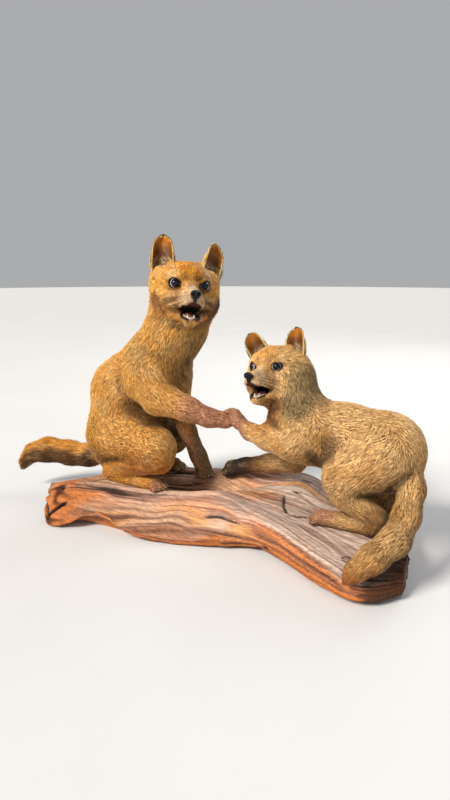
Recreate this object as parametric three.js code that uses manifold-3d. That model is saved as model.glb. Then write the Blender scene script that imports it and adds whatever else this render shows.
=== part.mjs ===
// Two mounted red fox cubs on a slab of driftwood, at life size.
// The sitting cub is divided into its named parts; the crouching cub that shares the mount is one solid.
// Millimetres, +Z up. X runs along the driftwood, the sitting cub looks towards +X and the crouching one
// towards -X, and the origin is on the flat underside of the wood. Solids reach out to the tips of the coat.
import * as THREE from "three";
import { mergeVertices } from "three/addons/utils/BufferGeometryUtils.js";
import Module from "manifold-3d";

const wasm = await Module();
wasm.setup();

// ---- driving dimensions ----
const GAP = 0.3; // clearance between neighbouring solids
const TRIM = 0.4; // clearance between a cub and the wood
const COAT_ROOM = 1.2; // clearance kept round the sitting cub's coat
const FINE_CELL = 4; // sampling step over a head
const COARSE_CELL = 6; // sampling step over the rest of a body
const SITTING_FACES = 3100; // before it is divided
const CROUCHING_FACES = 1900;
const SLIVER_SLACK = 0.08; // how far clearing away a cut's slivers may move a face

const EYE_RADIUS = 8;
const EAR_HALF_WIDTH = 15.2;
const EAR_THICKNESS = 3.4;
// Dried ears never stand alike: tilt leans one outwards and turn faces it outwards, in radians, and apart is
// how far its root stands from the middle of the head.
const SITTING_EARS = [
  { side: 1, length: 66, tilt: 0.48, turn: 0.4, apart: 31 },
  { side: -1, length: 61, tilt: 0.06, turn: 0.22, apart: 33 },
];
const CROUCHING_EARS = [
  { side: 1, length: 54, tilt: -0.24, turn: 0.1, apart: 35 },
  { side: -1, length: 56, tilt: 0.7, turn: -0.25, apart: 28 },
];
const CROUCHING_HEAD_SCALE = 0.86; // the crouching cub is the smaller of the two

const COLOURS = {
  coat: 0xb8793a,
  ear: 0xb06a1c,
  leather: 0x15161a,
  glass: 0x101218,
  tooth: 0xd8cdb8,
  tongue: 0x5a2a22,
  wood: 0xb07a52,
};

// ---- distance functions: negative inside, in millimetres ----
const clamp = (v, low, high) => Math.min(Math.max(v, low), high);
const lerp = (a, b, t) => a + (b - a) * t;
const smooth = (low, high, v) => {
  const t = clamp((v - low) / (high - low), 0, 1);
  return t * t * (3 - 2 * t);
};

function softUnion(a, b, blend) {
  const h = Math.max(blend - Math.abs(a - b), 0) / blend;
  return Math.min(a, b) - h * h * blend * 0.25;
}

const softCut = (a, b, blend) => -softUnion(-a, b, blend);

// A limb segment: a rod whose radius goes from ra to rb. flat over 1 makes it wider along y.
function bone(a, b, ra, rb, flat = 1) {
  const [ax, ay, az] = [a[0], a[1] / flat, a[2]];
  const [bx, by, bz] = [b[0] - ax, b[1] / flat - ay, b[2] - az];
  const length2 = bx * bx + by * by + bz * bz || 1;
  return (x, y, z) => {
    const px = x - ax;
    const py = y / flat - ay;
    const pz = z - az;
    const t = clamp((px * bx + py * by + pz * bz) / length2, 0, 1);
    return Math.hypot(px - bx * t, py - by * t, pz - bz * t) - lerp(ra, rb, t);
  };
}

// A rounded mass: an ellipsoid of half sizes r.
function mass(c, r) {
  return (x, y, z) => {
    const [px, py, pz] = [(x - c[0]) / r[0], (y - c[1]) / r[1], (z - c[2]) / r[2]];
    const near = Math.hypot(px, py, pz);
    const slope = Math.hypot(px / r[0], py / r[1], pz / r[2]);
    return slope < 1e-9 ? -Math.min(...r) : (near * (near - 1)) / slope;
  };
}

// Several segments through points [x, y, z, radius].
function chain(points) {
  return points.slice(1).map((b, i) => {
    const a = points[i];
    return bone(a.slice(0, 3), b.slice(0, 3), a[3], b[3]);
  });
}

const blended = (shapes, blend) => (x, y, z) =>
  shapes.reduce((d, shape) => softUnion(d, shape(x, y, z), blend), 1e3);

const mirrored = (points) => points.map(([x, y, ...rest]) => [x, -y, ...rest]);

// Four toes across the front of a paw, which points along the heading (in the ground plane).
function toes(centre, heading, radius, spread) {
  const side = [-Math.sin(heading), Math.cos(heading)];
  return [-1.5, -0.5, 0.5, 1.5].map((k) => {
    const reach = Math.abs(k) > 1 ? -3 : 0;
    const x = centre[0] + side[0] * k * spread + Math.cos(heading) * reach;
    const y = centre[1] + side[1] * k * spread + Math.sin(heading) * reach;
    return mass([x, y, centre[2]], [radius * 1.25, radius, radius]);
  });
}

// ---- a head, in its own frame: x forward, y left, z up, origin inside the skull ----
const EYE = [25.5, 20.5, 6]; // the left eye's centre
const NOSE = [73, 0, -14.3];
const GAPE = { corner: [29.5, 27, -30.2], upper: 2, lower: 31 }; // the open mouth's corner and its two slopes

// Half of a head: it is the same on both sides, so only y above 0 is described.
const HEAD_MASSES = [
  mass([-10, 0, 11], [42, 43, 36]), // skull
  mass([-14, 26, 6], [24, 25, 26]), // temple
  mass([16, 0, 11], [20, 27, 20]), // forehead
  mass([-4, 28, -15], [27, 24, 25]), // cheek
  mass([6, 20, -27], [20, 17, 15]), // jowl
  mass([-12, 0, -28], [30, 34, 25]), // throat
];
const MUZZLE = bone([18, 0, -9], [60, 0, -17], 19.5, 11);
const LIP = bone([34, 13, -22], [58, 7.5, -23], 8.5, 7.8);
const LOWER_JAW = bone([2, 0, -43], [44, 0, -50.5], 14, 6.5, 1.35);
const LOWER_LIP = bone([26, 20, -36.5], [46, 7.5, -47], 6, 4.5);
const EYE_HOLLOW = mass([36, 23, 4], [11, 11, 10]);
const BROW = bone([24, 14, 17], [20, 27, 16], 5, 5);

// The wedge of air between the jaws.
function gape(x, y, z) {
  const [px, pz] = [x - GAPE.corner[0], z - GAPE.corner[2]];
  const [up, low] = [GAPE.upper, GAPE.lower].map(THREE.MathUtils.degToRad);
  const above = pz * Math.cos(up) - px * Math.sin(up);
  const below = -pz * Math.cos(low) - px * Math.sin(low);
  return Math.max(above, below, y - GAPE.corner[1]);
}

function headField(x, signedY, z) {
  const y = Math.abs(signedY);
  let d = HEAD_MASSES.reduce((sum, m) => softUnion(sum, m(x, y, z), 14), 1e3);
  d = softUnion(d, softUnion(MUZZLE(x, y, z), LIP(x, y, z), 5), 12);
  d = softUnion(d, softUnion(LOWER_JAW(x, y, z), LOWER_LIP(x, y, z), 5), 6);
  d = softCut(d, EYE_HOLLOW(x, y, z), 7);
  d = softUnion(d, BROW(x, y, z), 8);
  return softCut(d, gape(x, y, z), 3);
}

const eyeballField = (x, y, z) => Math.hypot(x - EYE[0], Math.abs(y) - EYE[1], z - EYE[2]) - EYE_RADIUS;

// Where a head stands on its body: turned by yaw, lifted by pitch, rolled, and scaled.
function headFrame(centre, yaw, pitch, roll, scale) {
  const turn = new THREE.Euler(
    THREE.MathUtils.degToRad(roll),
    THREE.MathUtils.degToRad(-pitch),
    THREE.MathUtils.degToRad(yaw),
    "ZYX",
  );
  return new THREE.Matrix4().compose(
    new THREE.Vector3(...centre),
    new THREE.Quaternion().setFromEuler(turn),
    new THREE.Vector3(scale, scale, scale),
  );
}

const SITTING_HEAD = headFrame([-94.5, 0, 346.5], -46, 12, -6, 1);
const CROUCHING_HEAD = headFrame([43, 8, 238.5], -98, 16, 6, CROUCHING_HEAD_SCALE);

// A head's field in the frame of the whole model.
function placedHead(frame, headOnly = headField) {
  const inverse = frame.clone().invert();
  const scale = new THREE.Vector3().setFromMatrixScale(frame).x;
  const p = new THREE.Vector3();
  return (x, y, z) => {
    p.set(x, y, z).applyMatrix4(inverse);
    return headOnly(p.x, p.y, p.z) * scale;
  };
}

// ---- the two bodies, in the model's frame ----
const HIND_LEG = [
  [-211, -32, 127, 42],
  [-122, -48, 119, 33],
];
// The far leg is folded further back, clear of the foreleg.
const FAR_HIND_LEG = [
  [-209, 34, 124, 40],
  [-162, 50, 107, 27],
];
const SHANK = [
  [-112, -52, 101, 20],
  [-205, -50, 73, 14],
];
const HIND_FOOT = [
  [-207, -48, 64, 13.5],
  [-128, -46, 60, 11.5],
];
const FAR_SHANK = [
  [-152, 52, 98, 19],
  [-215, 50, 73, 14],
];
const FAR_HIND_FOOT = [
  [-216, 48, 64, 13.5],
  [-150, 46, 60, 11.5],
];
const RAISED_ARM = [
  [-140, -38, 216, 32],
  [-116, -45, 196, 26],
  [-65, -44, 184, 18],
  [-36, -38, 174, 13.5],
  [-13, -29, 171, 12.5],
];
const STANDING_ARM = [
  [-142, 30, 212, 31],
  [-132, 30, 168, 20],
  [-115, 32, 126, 14],
  [-99, 37, 86, 13],
  [-90, 38, 66, 14],
];
const SITTING_TAIL = [
  [-256, 4, 76, 18],
  [-296, 2, 65, 20],
  [-334, -8, 67, 22],
  [-370, -22, 71, 22],
  [-394, -34, 65, 17],
  [-407, -41, 49, 11],
  [-412, -44, 37, 5],
];

const sittingTrunk = blended(
  [
    mass([-223, 0, 105], [48, 55, 56]), // rump
    bone([-219, 0, 122], [-207, 0, 188], 51, 55),
    bone([-207, 0, 188], [-155, 0, 237], 55, 48),
    mass([-190, 0, 140], [48, 44, 46]), // belly
    mass([-133, 0, 208], [37, 39, 46]), // breast
    bone([-150, 0, 236], [-111, 0, 296], 47, 43),
    bone([-111, 0, 296], [-102, 0, 330], 43, 39),
  ],
  22,
);
const sittingHindLegs = [HIND_LEG, FAR_HIND_LEG].map((leg) => blended(chain(leg), 10));
const sittingHindFeet = [
  [SHANK, HIND_FOOT, [-118, -45, 56.5]],
  [FAR_SHANK, FAR_HIND_FOOT, [-140, 45, 56.5]],
].map(([shank, foot, toe]) => blended([...chain(shank), ...chain(foot), ...toes(toe, 0, 6, 7.2)], 5));
const sittingArms = [
  blended([...chain(RAISED_ARM), ...toes([-6, -26, 169], 0.35, 5.5, 6)], 8),
  blended([...chain(STANDING_ARM), ...toes([-82, 31, 58], -0.85, 6.4, 6.3)], 8),
];
const sittingTail = blended(chain(SITTING_TAIL), 10);
const sittingHead = placedHead(SITTING_HEAD);

function sittingField(x, y, z) {
  let d = sittingTrunk(x, y, z);
  for (const leg of sittingHindLegs) d = softUnion(d, leg(x, y, z), 12);
  for (const foot of sittingHindFeet) d = softUnion(d, foot(x, y, z), 5);
  for (const arm of sittingArms) d = softUnion(d, arm(x, y, z), 12);
  d = softUnion(d, sittingTail(x, y, z), 9);
  return softUnion(d, sittingHead(x, y, z), 12);
}

const CROUCHED_LEG = [
  [200, -24, 148, 41],
  [168, -41, 119, 31],
];
const CROUCHED_FOOT = [
  [170, -46, 100, 20],
  [212, -44, 76, 14],
  [206, -43, 65, 13.5],
  [140, -42, 61, 11.5],
];
const REACHING_ARM = [
  [102, -34, 166, 33],
  [96, -41, 157, 24],
  [58, -39, 157, 16],
  [28, -34, 161, 11.5],
  [6, -28, 173, 9.5],
  [-3, -26, 181, 8],
];
const LYING_ARM = [
  [94, 38, 150, 28],
  [62, 49, 98, 17],
  [18, 54, 88, 14],
  [-22, 54, 77, 12],
  [-45, 53, 69, 14],
];
const CROUCHING_TAIL = [
  [236, -6, 140, 19],
  [249, -32, 118, 17],
  [251, -60, 93, 17],
  [246, -92, 74, 18],
  [228, -120, 60, 17],
  [212, -136, 46, 12],
  [206, -142, 38, 6],
];

const crouchingTrunk = blended(
  [
    mass([208, 4, 146], [46, 46, 46]), // rump
    bone([206, 4, 152], [112, 4, 162], 47, 44),
    mass([96, 2, 164], [42, 42, 44]), // shoulders
    mass([78, 2, 168], [34, 32, 38]), // breast
    mass([152, 2, 172], [38, 38, 34]), // withers
    bone([84, 2, 180], [72, 9, 231], 37, 34),
  ],
  20,
);
const crouchingLimbs = [
  blended(chain(CROUCHED_LEG), 10),
  blended(chain(mirrored(CROUCHED_LEG)), 10),
  blended([...chain(REACHING_ARM), ...toes([-6, -25, 184], 2.2, 4.5, 4.6)], 8),
  blended([...chain(LYING_ARM), ...toes([-56, 52, 62], Math.PI + 0.25, 6.5, 6.2)], 8),
];
const crouchingFeet = [1, -1].map((side) => {
  const foot = side > 0 ? CROUCHED_FOOT : mirrored(CROUCHED_FOOT);
  return blended([...chain(foot), ...toes([129, -41 * side, 57], Math.PI, 6, 6.8)], 5);
});
const crouchingTail = blended(chain(CROUCHING_TAIL), 10);
// The crouching cub's eyes and nose are part of its one solid.
const crouchingHead = placedHead(CROUCHING_HEAD, (x, y, z) =>
  Math.min(headField(x, y, z), eyeballField(x, y, z), mass(NOSE, [5.5, 7.2, 5.6])(x, y, z)),
);

function crouchingField(x, y, z) {
  let d = crouchingTrunk(x, y, z);
  for (const limb of crouchingLimbs) d = softUnion(d, limb(x, y, z), 12);
  for (const foot of crouchingFeet) d = softUnion(d, foot(x, y, z), 5);
  d = softUnion(d, crouchingTail(x, y, z), 9);
  return softUnion(d, crouchingHead(x, y, z), 12);
}

// ---- meshing: marching tetrahedra, then edge collapses ----
// Grid lines from low to high, closer together between fineLow and fineHigh.
function gridLines(low, high, fineLow, fineHigh) {
  const lines = [low];
  while (lines.at(-1) < high) {
    const at = lines.at(-1);
    const fine = smooth(fineLow - 12, fineLow, at) * (1 - smooth(fineHigh, fineHigh + 12, at));
    lines.push(at + lerp(COARSE_CELL, FINE_CELL, fine));
  }
  return lines;
}

// The six tetrahedra round a cell's diagonal. A corner's bits are its steps along x, y and z.
const TETRAHEDRA = [
  [0, 1, 3, 7],
  [0, 3, 2, 7],
  [0, 2, 6, 7],
  [0, 6, 4, 7],
  [0, 4, 5, 7],
  [0, 5, 1, 7],
];

// The skin of a field at a level, as { points, faces }.
function skinOf(field, [xs, ys, zs], level) {
  const [nx, ny, nz] = [xs.length, ys.length, zs.length];
  const value = new Float64Array(nx * ny * nz);
  const place = (n) => [xs[n % nx], ys[Math.floor(n / nx) % ny], zs[Math.floor(n / (nx * ny))]];
  value.forEach((_, n) => (value[n] = field(...place(n)) - level));

  const points = [];
  const faces = [];
  const pointOn = new Map();
  const crossing = (a, b) => {
    const key = Math.min(a, b) * value.length + Math.max(a, b);
    if (!pointOn.has(key)) {
      const t = clamp(value[a] / (value[a] - value[b]), 0.02, 0.98);
      const [pa, pb] = [place(a), place(b)];
      pointOn.set(key, points.length);
      points.push(pa.map((v, i) => lerp(v, pb[i], t)));
    }
    return pointOn.get(key);
  };
  const addTetrahedron = (corners) => {
    const inside = corners.filter((n) => value[n] < 0);
    const outside = corners.filter((n) => value[n] >= 0);
    if (!inside.length || !outside.length) return;
    const out = outside.reduce((s, n) => s.map((v, i) => v + place(n)[i] / outside.length), [0, 0, 0]);
    const cross = inside.flatMap((a) => outside.map((b) => crossing(a, b)));
    if (cross.length === 3) addFace(cross, out);
    else {
      addFace([cross[0], cross[1], cross[3]], out);
      addFace([cross[0], cross[3], cross[2]], out);
    }
  };
  // A face is wound so that it looks towards the given point.
  const addFace = (face, out) => {
    const [a, b, c] = face.map((n) => points[n]);
    const normal = crossProduct(minus(b, a), minus(c, a));
    faces.push(dot(normal, minus(out, a)) > 0 ? face : [face[0], face[2], face[1]]);
  };
  for (let k = 0; k < nz - 1; k++)
    for (let j = 0; j < ny - 1; j++)
      for (let i = 0; i < nx - 1; i++) {
        const first = (k * ny + j) * nx + i;
        const corner = (n) => first + (n & 1) + ((n >> 1) & 1) * nx + ((n >> 2) & 1) * nx * ny;
        for (const four of TETRAHEDRA) addTetrahedron(four.map(corner));
      }
  return { points, faces };
}

const minus = (a, b) => [a[0] - b[0], a[1] - b[1], a[2] - b[2]];
const dot = (a, b) => a[0] * b[0] + a[1] * b[1] + a[2] * b[2];
const crossProduct = (a, b) => [
  a[1] * b[2] - a[2] * b[1],
  a[2] * b[0] - a[0] * b[2],
  a[0] * b[1] - a[1] * b[0],
];

// Collapses the edges whose loss changes the shape least, until the skin has the given number of faces.
// slack is how far one collapse may move a point off the faces around it.
function simplified({ points, faces }, target, slack = 4) {
  const facesOf = points.map(() => new Set());
  faces.forEach((face, f) => face.forEach((v) => facesOf[v].add(f)));
  const normalOf = (face) => {
    const [a, b, c] = face.map((v) => points[v]);
    return crossProduct(minus(b, a), minus(c, a));
  };

  // A point's squared distance to the planes it came from, as a symmetric 4 x 4 form.
  const quadric = points.map(() => new Float64Array(10));
  for (const face of faces) {
    const normal = normalOf(face);
    const size = Math.hypot(...normal);
    if (size < 1e-12) continue;
    const [a, b, c] = normal.map((v) => v / size);
    const d = -dot([a, b, c], points[face[0]]);
    const form = [a * a, a * b, a * c, a * d, b * b, b * c, b * d, c * c, c * d, d * d];
    for (const v of face) form.forEach((term, i) => (quadric[v][i] += (term * size) / 6));
  }
  const sumOf = (a, b) => a.map((v, i) => v + b[i]);
  const costAt = (q, [x, y, z]) =>
    q[0] * x * x + 2 * q[1] * x * y + 2 * q[2] * x * z + 2 * q[3] * x + q[4] * y * y +
    2 * q[5] * y * z + 2 * q[6] * y + q[7] * z * z + 2 * q[8] * z + q[9];
  const bestPoint = (q, a, b) => {
    const m = new THREE.Matrix3().set(q[0], q[1], q[2], q[1], q[4], q[5], q[2], q[5], q[7]);
    const middle = a.map((v, i) => (v + b[i]) / 2);
    const choices = [a, b, middle];
    if (Math.abs(m.determinant()) > 1e-3) {
      const solved = new THREE.Vector3(-q[3], -q[6], -q[8]).applyMatrix3(m.invert()).toArray();
      if (Math.hypot(...minus(solved, middle)) < 2 * Math.hypot(...minus(a, b))) choices.push(solved);
    }
    return choices.reduce((best, p) => (costAt(q, p) < costAt(q, best) ? p : best));
  };

  const version = points.map(() => 0);
  const heap = [];
  const offer = (a, b) => {
    const q = sumOf(quadric[a], quadric[b]);
    const point = bestPoint(q, points[a], points[b]);
    const length = Math.hypot(...minus(points[a], points[b]));
    const cost = costAt(q, point) + 1e-4 * length * length;
    pushTo(heap, { cost, a, b, point, stamp: version[a] + version[b] });
  };
  const neighbours = (v) => new Set([...facesOf[v]].flatMap((f) => faces[f]).filter((n) => n !== v));
  points.forEach((_, v) => neighbours(v).forEach((n) => v < n && offer(v, n)));

  // A collapse may not fold a face over, and the two ends share just the edge's own two faces.
  const allowed = (a, b, point) => {
    const around = neighbours(a);
    if ([...neighbours(b)].filter((n) => around.has(n)).length !== 2) return false;
    for (const [v, other] of [[a, b], [b, a]])
      for (const f of facesOf[v]) {
        if (faces[f].includes(other)) continue;
        const before = normalOf(faces[f]);
        const [p, q, r] = faces[f].map((n) => (n === v ? point : points[n]));
        const after = crossProduct(minus(q, p), minus(r, p));
        const [sizeBefore, sizeAfter] = [Math.hypot(...before), Math.hypot(...after)];
        if (sizeAfter < 1e-3 || dot(before, after) < 0.3 * sizeBefore * sizeAfter) return false;
        const off = dot(before, minus(point, points[v])) / Math.max(sizeBefore, 1e-9);
        if (Math.abs(off) > slack) return false;
      }
    return true;
  };

  let left = faces.length;
  const gone = new Set();
  while (left > target && heap.length) {
    const { a, b, point, stamp } = popFrom(heap);
    if (gone.has(a) || gone.has(b) || stamp !== version[a] + version[b]) continue;
    if (!allowed(a, b, point)) continue;
    points[a] = point;
    quadric[a] = sumOf(quadric[a], quadric[b]);
    for (const f of facesOf[b]) {
      if (faces[f].includes(a)) {
        for (const v of faces[f]) facesOf[v].delete(f);
        faces[f] = null;
        left--;
        continue;
      }
      faces[f] = faces[f].map((v) => (v === b ? a : v));
      facesOf[a].add(f);
    }
    gone.add(b);
    version[a] += 1e6;
    neighbours(a).forEach((n) => offer(a, n));
  }
  return { points, faces: faces.filter(Boolean) };
}

// A heap whose cheapest entry is first.
function pushTo(heap, entry) {
  heap.push(entry);
  let i = heap.length - 1;
  while (i > 0) {
    const parent = (i - 1) >> 1;
    if (heap[parent].cost <= heap[i].cost) break;
    [heap[parent], heap[i]] = [heap[i], heap[parent]];
    i = parent;
  }
}

function popFrom(heap) {
  const first = heap[0];
  const last = heap.pop();
  if (!heap.length) return first;
  heap[0] = last;
  let i = 0;
  for (;;) {
    const [l, r] = [2 * i + 1, 2 * i + 2];
    let least = i;
    if (l < heap.length && heap[l].cost < heap[least].cost) least = l;
    if (r < heap.length && heap[r].cost < heap[least].cost) least = r;
    if (least === i) break;
    [heap[least], heap[i]] = [heap[i], heap[least]];
    i = least;
  }
  return first;
}

const surfaceOf = (field, grid, target, level = 0) =>
  solidOfSkin(simplified(skinOf(field, grid, level), target));

function solidOfSkin({ points, faces }) {
  const number = new Map();
  faces.flat().forEach((v) => number.has(v) || number.set(v, number.size));
  const used = [...number.keys()].flatMap((v) => points[v]);
  return solidFrom(used, faces.flat().map((v) => number.get(v)));
}

// ---- solids ----
function solidFrom(positions, index) {
  const made = new wasm.Manifold(
    new wasm.Mesh({
      numProp: 3,
      vertProperties: new Float32Array(positions),
      triVerts: new Uint32Array(index),
    }),
  );
  return made;
}

function solidOf(geometry) {
  const bare = geometry.clone();
  bare.deleteAttribute("normal");
  bare.deleteAttribute("uv");
  const merged = mergeVertices(bare, 1e-4);
  return solidFrom(merged.attributes.position.array, merged.index.array);
}

function geometryOf(solid) {
  const mesh = solid.getMesh();
  const stride = mesh.numProp;
  const position = new Float32Array(mesh.numVert * 3);
  for (let i = 0; i < mesh.numVert; i++)
    position.set(mesh.vertProperties.subarray(i * stride, i * stride + 3), i * 3);
  return new THREE.BufferGeometry()
    .setAttribute("position", new THREE.BufferAttribute(position, 3))
    .setIndex(new THREE.BufferAttribute(mesh.triVerts, 1));
}

// A divided part without the slivers that its cuts left.
function lighter(solid) {
  const mesh = solid.getMesh();
  const triples = (flat) =>
    Array.from({ length: flat.length / 3 }, (_, i) => Array.from(flat.subarray(3 * i, 3 * i + 3)));
  const skin = { points: triples(mesh.vertProperties), faces: triples(mesh.triVerts) };
  return solidOfSkin(simplified(skin, 4, SLIVER_SLACK));
}

// The largest of the bodies that a cut leaves.
const mainBody = (solid) =>
  solid.decompose().reduce((best, body) => (body.volume() > best.volume() ? body : best));

// A closed skin through rings of points, with a fan at each end.
function loft(rings) {
  const n = rings[0].length;
  const points = rings.flat(2);
  const index = [];
  for (let r = 0; r < rings.length - 1; r++)
    for (let i = 0; i < n; i++) {
      const [a, b] = [r * n + i, r * n + ((i + 1) % n)];
      index.push(a, b, b + n, a, b + n, a + n);
    }
  [0, rings.length - 1].forEach((r, end) => {
    const middle = rings[r].reduce((s, p) => s.map((v, i) => v + p[i] / n), [0, 0, 0]);
    const hub = points.length / 3;
    points.push(...middle);
    for (let i = 0; i < n; i++) {
      const [a, b] = [r * n + i, r * n + ((i + 1) % n)];
      if (end) index.push(hub, a, b);
      else index.push(hub, b, a);
    }
  });
  return solidFrom(points, index);
}

// ---- the driftwood ----
const WOOD_STATIONS = 26;
// x, then the y of the front foot, y and z of the crest over it, y of the rear edge and its height,
// then the y, half width and depth of the hollow along the top
const WOOD_OUTLINE = [
  [-284, -128, -112, 44, -84, 36, -60, 30, 0],
  [-266, -150, -118, 56, -40, 44, -40, 30, 0],
  [-236, -156, -98, 60, 26, 46, -20, 30, 0],
  [-200, -149, -76, 58, 70, 49, -10, 30, 4],
  [-144, -149, -66, 58, 80, 52, -12, 26, 20],
  [-99, -143, -44, 58, 86, 55, -2, 22, 28],
  [-54, -129, -24, 58, 90, 60, 16, 18, 28],
  [0, -107, -46, 56, 98, 68, 52, 12, 26],
  [49, -78, -66, 55, 106, 76, 70, 12, 24],
  [80, -86, -79, 54, 108, 70, 84, 11, 10],
  [109, -98, -93, 51, 104, 55, 90, 12, 0],
  [163, -124, -120, 43, 92, 51, 80, 12, 0],
  [210, -138, -134, 32, 70, 50, 60, 12, 0],
  [246, -118, -114, 30, 10, 46, -10, 12, 0],
  [258, -98, -92, 26, -50, 38, -60, 12, 0],
];

// A column of the outline at x, on a smooth curve through the stations.
function woodAt(x, column) {
  const last = WOOD_OUTLINE.length - 2;
  let i = 0;
  while (i < last && x > WOOD_OUTLINE[i + 1][0]) i++;
  const [before, a, b, after] = [i - 1, i, i + 1, i + 2].map(
    (n) => WOOD_OUTLINE[clamp(n, 0, last + 1)],
  );
  const t = clamp((x - a[0]) / (b[0] - a[0]), 0, 1);
  const slopeA = ((b[column] - before[column]) / (b[0] - before[0])) * (b[0] - a[0]);
  const slopeB = ((after[column] - a[column]) / (after[0] - a[0])) * (b[0] - a[0]);
  const [t2, t3] = [t * t, t * t * t];
  return (
    (2 * t3 - 3 * t2 + 1) * a[column] +
    (t3 - 2 * t2 + t) * slopeA +
    (3 * t2 - 2 * t3) * b[column] +
    (t3 - t2) * slopeB
  );
}

function woodTop(x, y) {
  const [crestY, crestZ, rearY, rearZ] = [2, 3, 4, 5].map((column) => woodAt(x, column));
  const [hollowY, halfWidth, depth] = [6, 7, 8].map((column) => woodAt(x, column));
  const across = clamp((y - crestY) / (rearY - crestY), 0, 1);
  const level = 53 - 4 * smooth(215, 250, x);
  const rise = lerp(crestZ, level, smooth(0, 0.35, across));
  const hollow = depth * Math.exp(-(((y - hollowY) / halfWidth) ** 2));
  return lerp(rise, rearZ, smooth(0.45, 0.8, across)) - hollow;
}

// A section of the wood at x: up the front, over the top, down the rear and back underneath.
function woodSection(x) {
  const [footY, crestY, crestZ, rearY, rearZ] = [1, 2, 3, 4, 5].map((column) => woodAt(x, column));
  const lift = 2 + 2 * Math.sin(x / 31);
  const ends = 10 * (1 - smooth(-284, -262, x)) + 6 * smooth(244, 254, x);
  const ring = [];
  const run = (count, from, to, height) => {
    for (let i = 0; i < count; i++) {
      const t = i / count;
      ring.push([lerp(from, to, t), height(t)]);
    }
  };
  run(3, footY, crestY, (t) => lerp(lift + ends, crestZ, t));
  run(13, crestY, rearY, (t) => woodTop(x, lerp(crestY, rearY, t)));
  run(2, rearY, rearY - 8, (t) => lerp(rearZ, 10 + ends, t));
  run(7, rearY - 8, footY, (t) => ends + lift * smooth(0.8, 1, t) + 5 * (1 - smooth(0, 0.13, t)));
  return rounded(rounded(ring));
}

// Eases the corners of a closed ring, but leaves what lies flat on the ground.
function rounded(ring) {
  return ring.map(([y, z], i) => {
    const [a, b] = [ring.at(i - 1), ring[(i + 1) % ring.length]];
    const eased = (z + (a[1] + b[1]) / 2) / 2;
    return [(y + (a[0] + b[0]) / 2) / 2, z < 0.01 ? z : eased];
  });
}

function driftwood(grow) {
  const [first, last] = [WOOD_OUTLINE[0][0], WOOD_OUTLINE.at(-1)[0]];
  const rings = [];
  for (let s = 0; s <= WOOD_STATIONS; s++) {
    const x = lerp(last, first, s / WOOD_STATIONS);
    const section = woodSection(x);
    const along = grow * (1 - 2 * (s / WOOD_STATIONS));
    rings.push(
      section.map(([y, z], i) => {
        const [a, b] = [section.at(i - 1), section[(i + 1) % section.length]];
        const length = Math.hypot(b[0] - a[0], b[1] - a[1]) || 1;
        return [x + along, y - (grow * (b[1] - a[1])) / length, z + (grow * (b[0] - a[0])) / length];
      }),
    );
  }
  return loft(rings);
}

// ---- pieces of the sitting cub's head, in the head's frame ----
// An ear is a half tube, open to the front, that closes to a blunt tip. side is 1 on the left, and tilt
// leans it outwards.
function ear({ side, length, tilt, turn, apart }) {
  const [rows, columns] = [7, 5];
  const rings = [];
  for (let r = 0; r <= rows; r++) {
    const t = r / rows;
    const width = EAR_HALF_WIDTH * (0.9 + 0.5 * t * (1 - t)) * Math.sqrt(1 - 0.9 * t ** 6);
    const wrap = THREE.MathUtils.degToRad(lerp(104, 62, t));
    const ring = [];
    for (const wall of [0, 1])
      for (let c = 0; c <= columns; c++) {
        const share = wall ? 1 - c / columns : c / columns;
        const angle = lerp(wrap, -wrap, share);
        const radius = width / Math.sin(Math.min(wrap, Math.PI / 2)) - wall * EAR_THICKNESS;
        const back = width * 0.9;
        ring.push([back - radius * Math.cos(angle) - 6 - 10 * t, radius * Math.sin(angle), length * t]);
      }
    rings.push(ring);
  }
  const place = new THREE.Matrix4()
    .makeTranslation(-13, side * apart, 26)
    .multiply(new THREE.Matrix4().makeRotationZ(side * turn))
    .multiply(new THREE.Matrix4().makeRotationX(-side * tilt));
  return loft(rings).transform(place.elements);
}

// The crouching cub's ears are joined to its head.
const crouchingEars = () =>
  CROUCHING_EARS.map((shape) => ear(shape).transform(CROUCHING_HEAD.elements)).reduce((a, b) => a.add(b));

function ellipsoid(centre, radii, across = 12, down = 7) {
  const sphere = new THREE.SphereGeometry(1, across, down);
  sphere.scale(...radii);
  sphere.translate(...centre);
  return solidOf(sphere);
}

const eye = (side, grow = 0) =>
  ellipsoid([EYE[0], side * EYE[1], EYE[2]], Array(3).fill(EYE_RADIUS + grow), 12, 8);

function noseLeather() {
  return ellipsoid(NOSE, [5.5, 7.2, 5.6]).add(ellipsoid([70, 0, -20], [4, 3, 6], 8, 5));
}

// A strip of gum along half an ellipse, with teeth standing on it.
function gumWithTeeth() {
  const [reach, half] = [22, 8.5];
  const place = (a) => [25 + reach * Math.cos(a), half * Math.sin(a), -39 - 7.5 * Math.cos(a)];
  let made = null;
  const steps = 8;
  for (let i = 0; i <= steps; i++) {
    const [x, y, z] = place(lerp(-1.25, 1.25, i / steps));
    const bead = ellipsoid([x, y, z], [3, 3, 2.6], 6, 4);
    const canine = i === 2 || i === steps - 2;
    const tooth = new THREE.ConeGeometry(canine ? 1.7 : 1.3, canine ? 8 : 4.5, 5);
    tooth.rotateX(Math.PI / 2);
    tooth.translate(x, y, z + (canine ? 5 : 3.6));
    const grown = bead.add(solidOf(tooth));
    made = made ? made.add(grown) : grown;
  }
  return made;
}

const tongue = () => ellipsoid([35, 0, -39.5], [7, 5, 4.5]);

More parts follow.
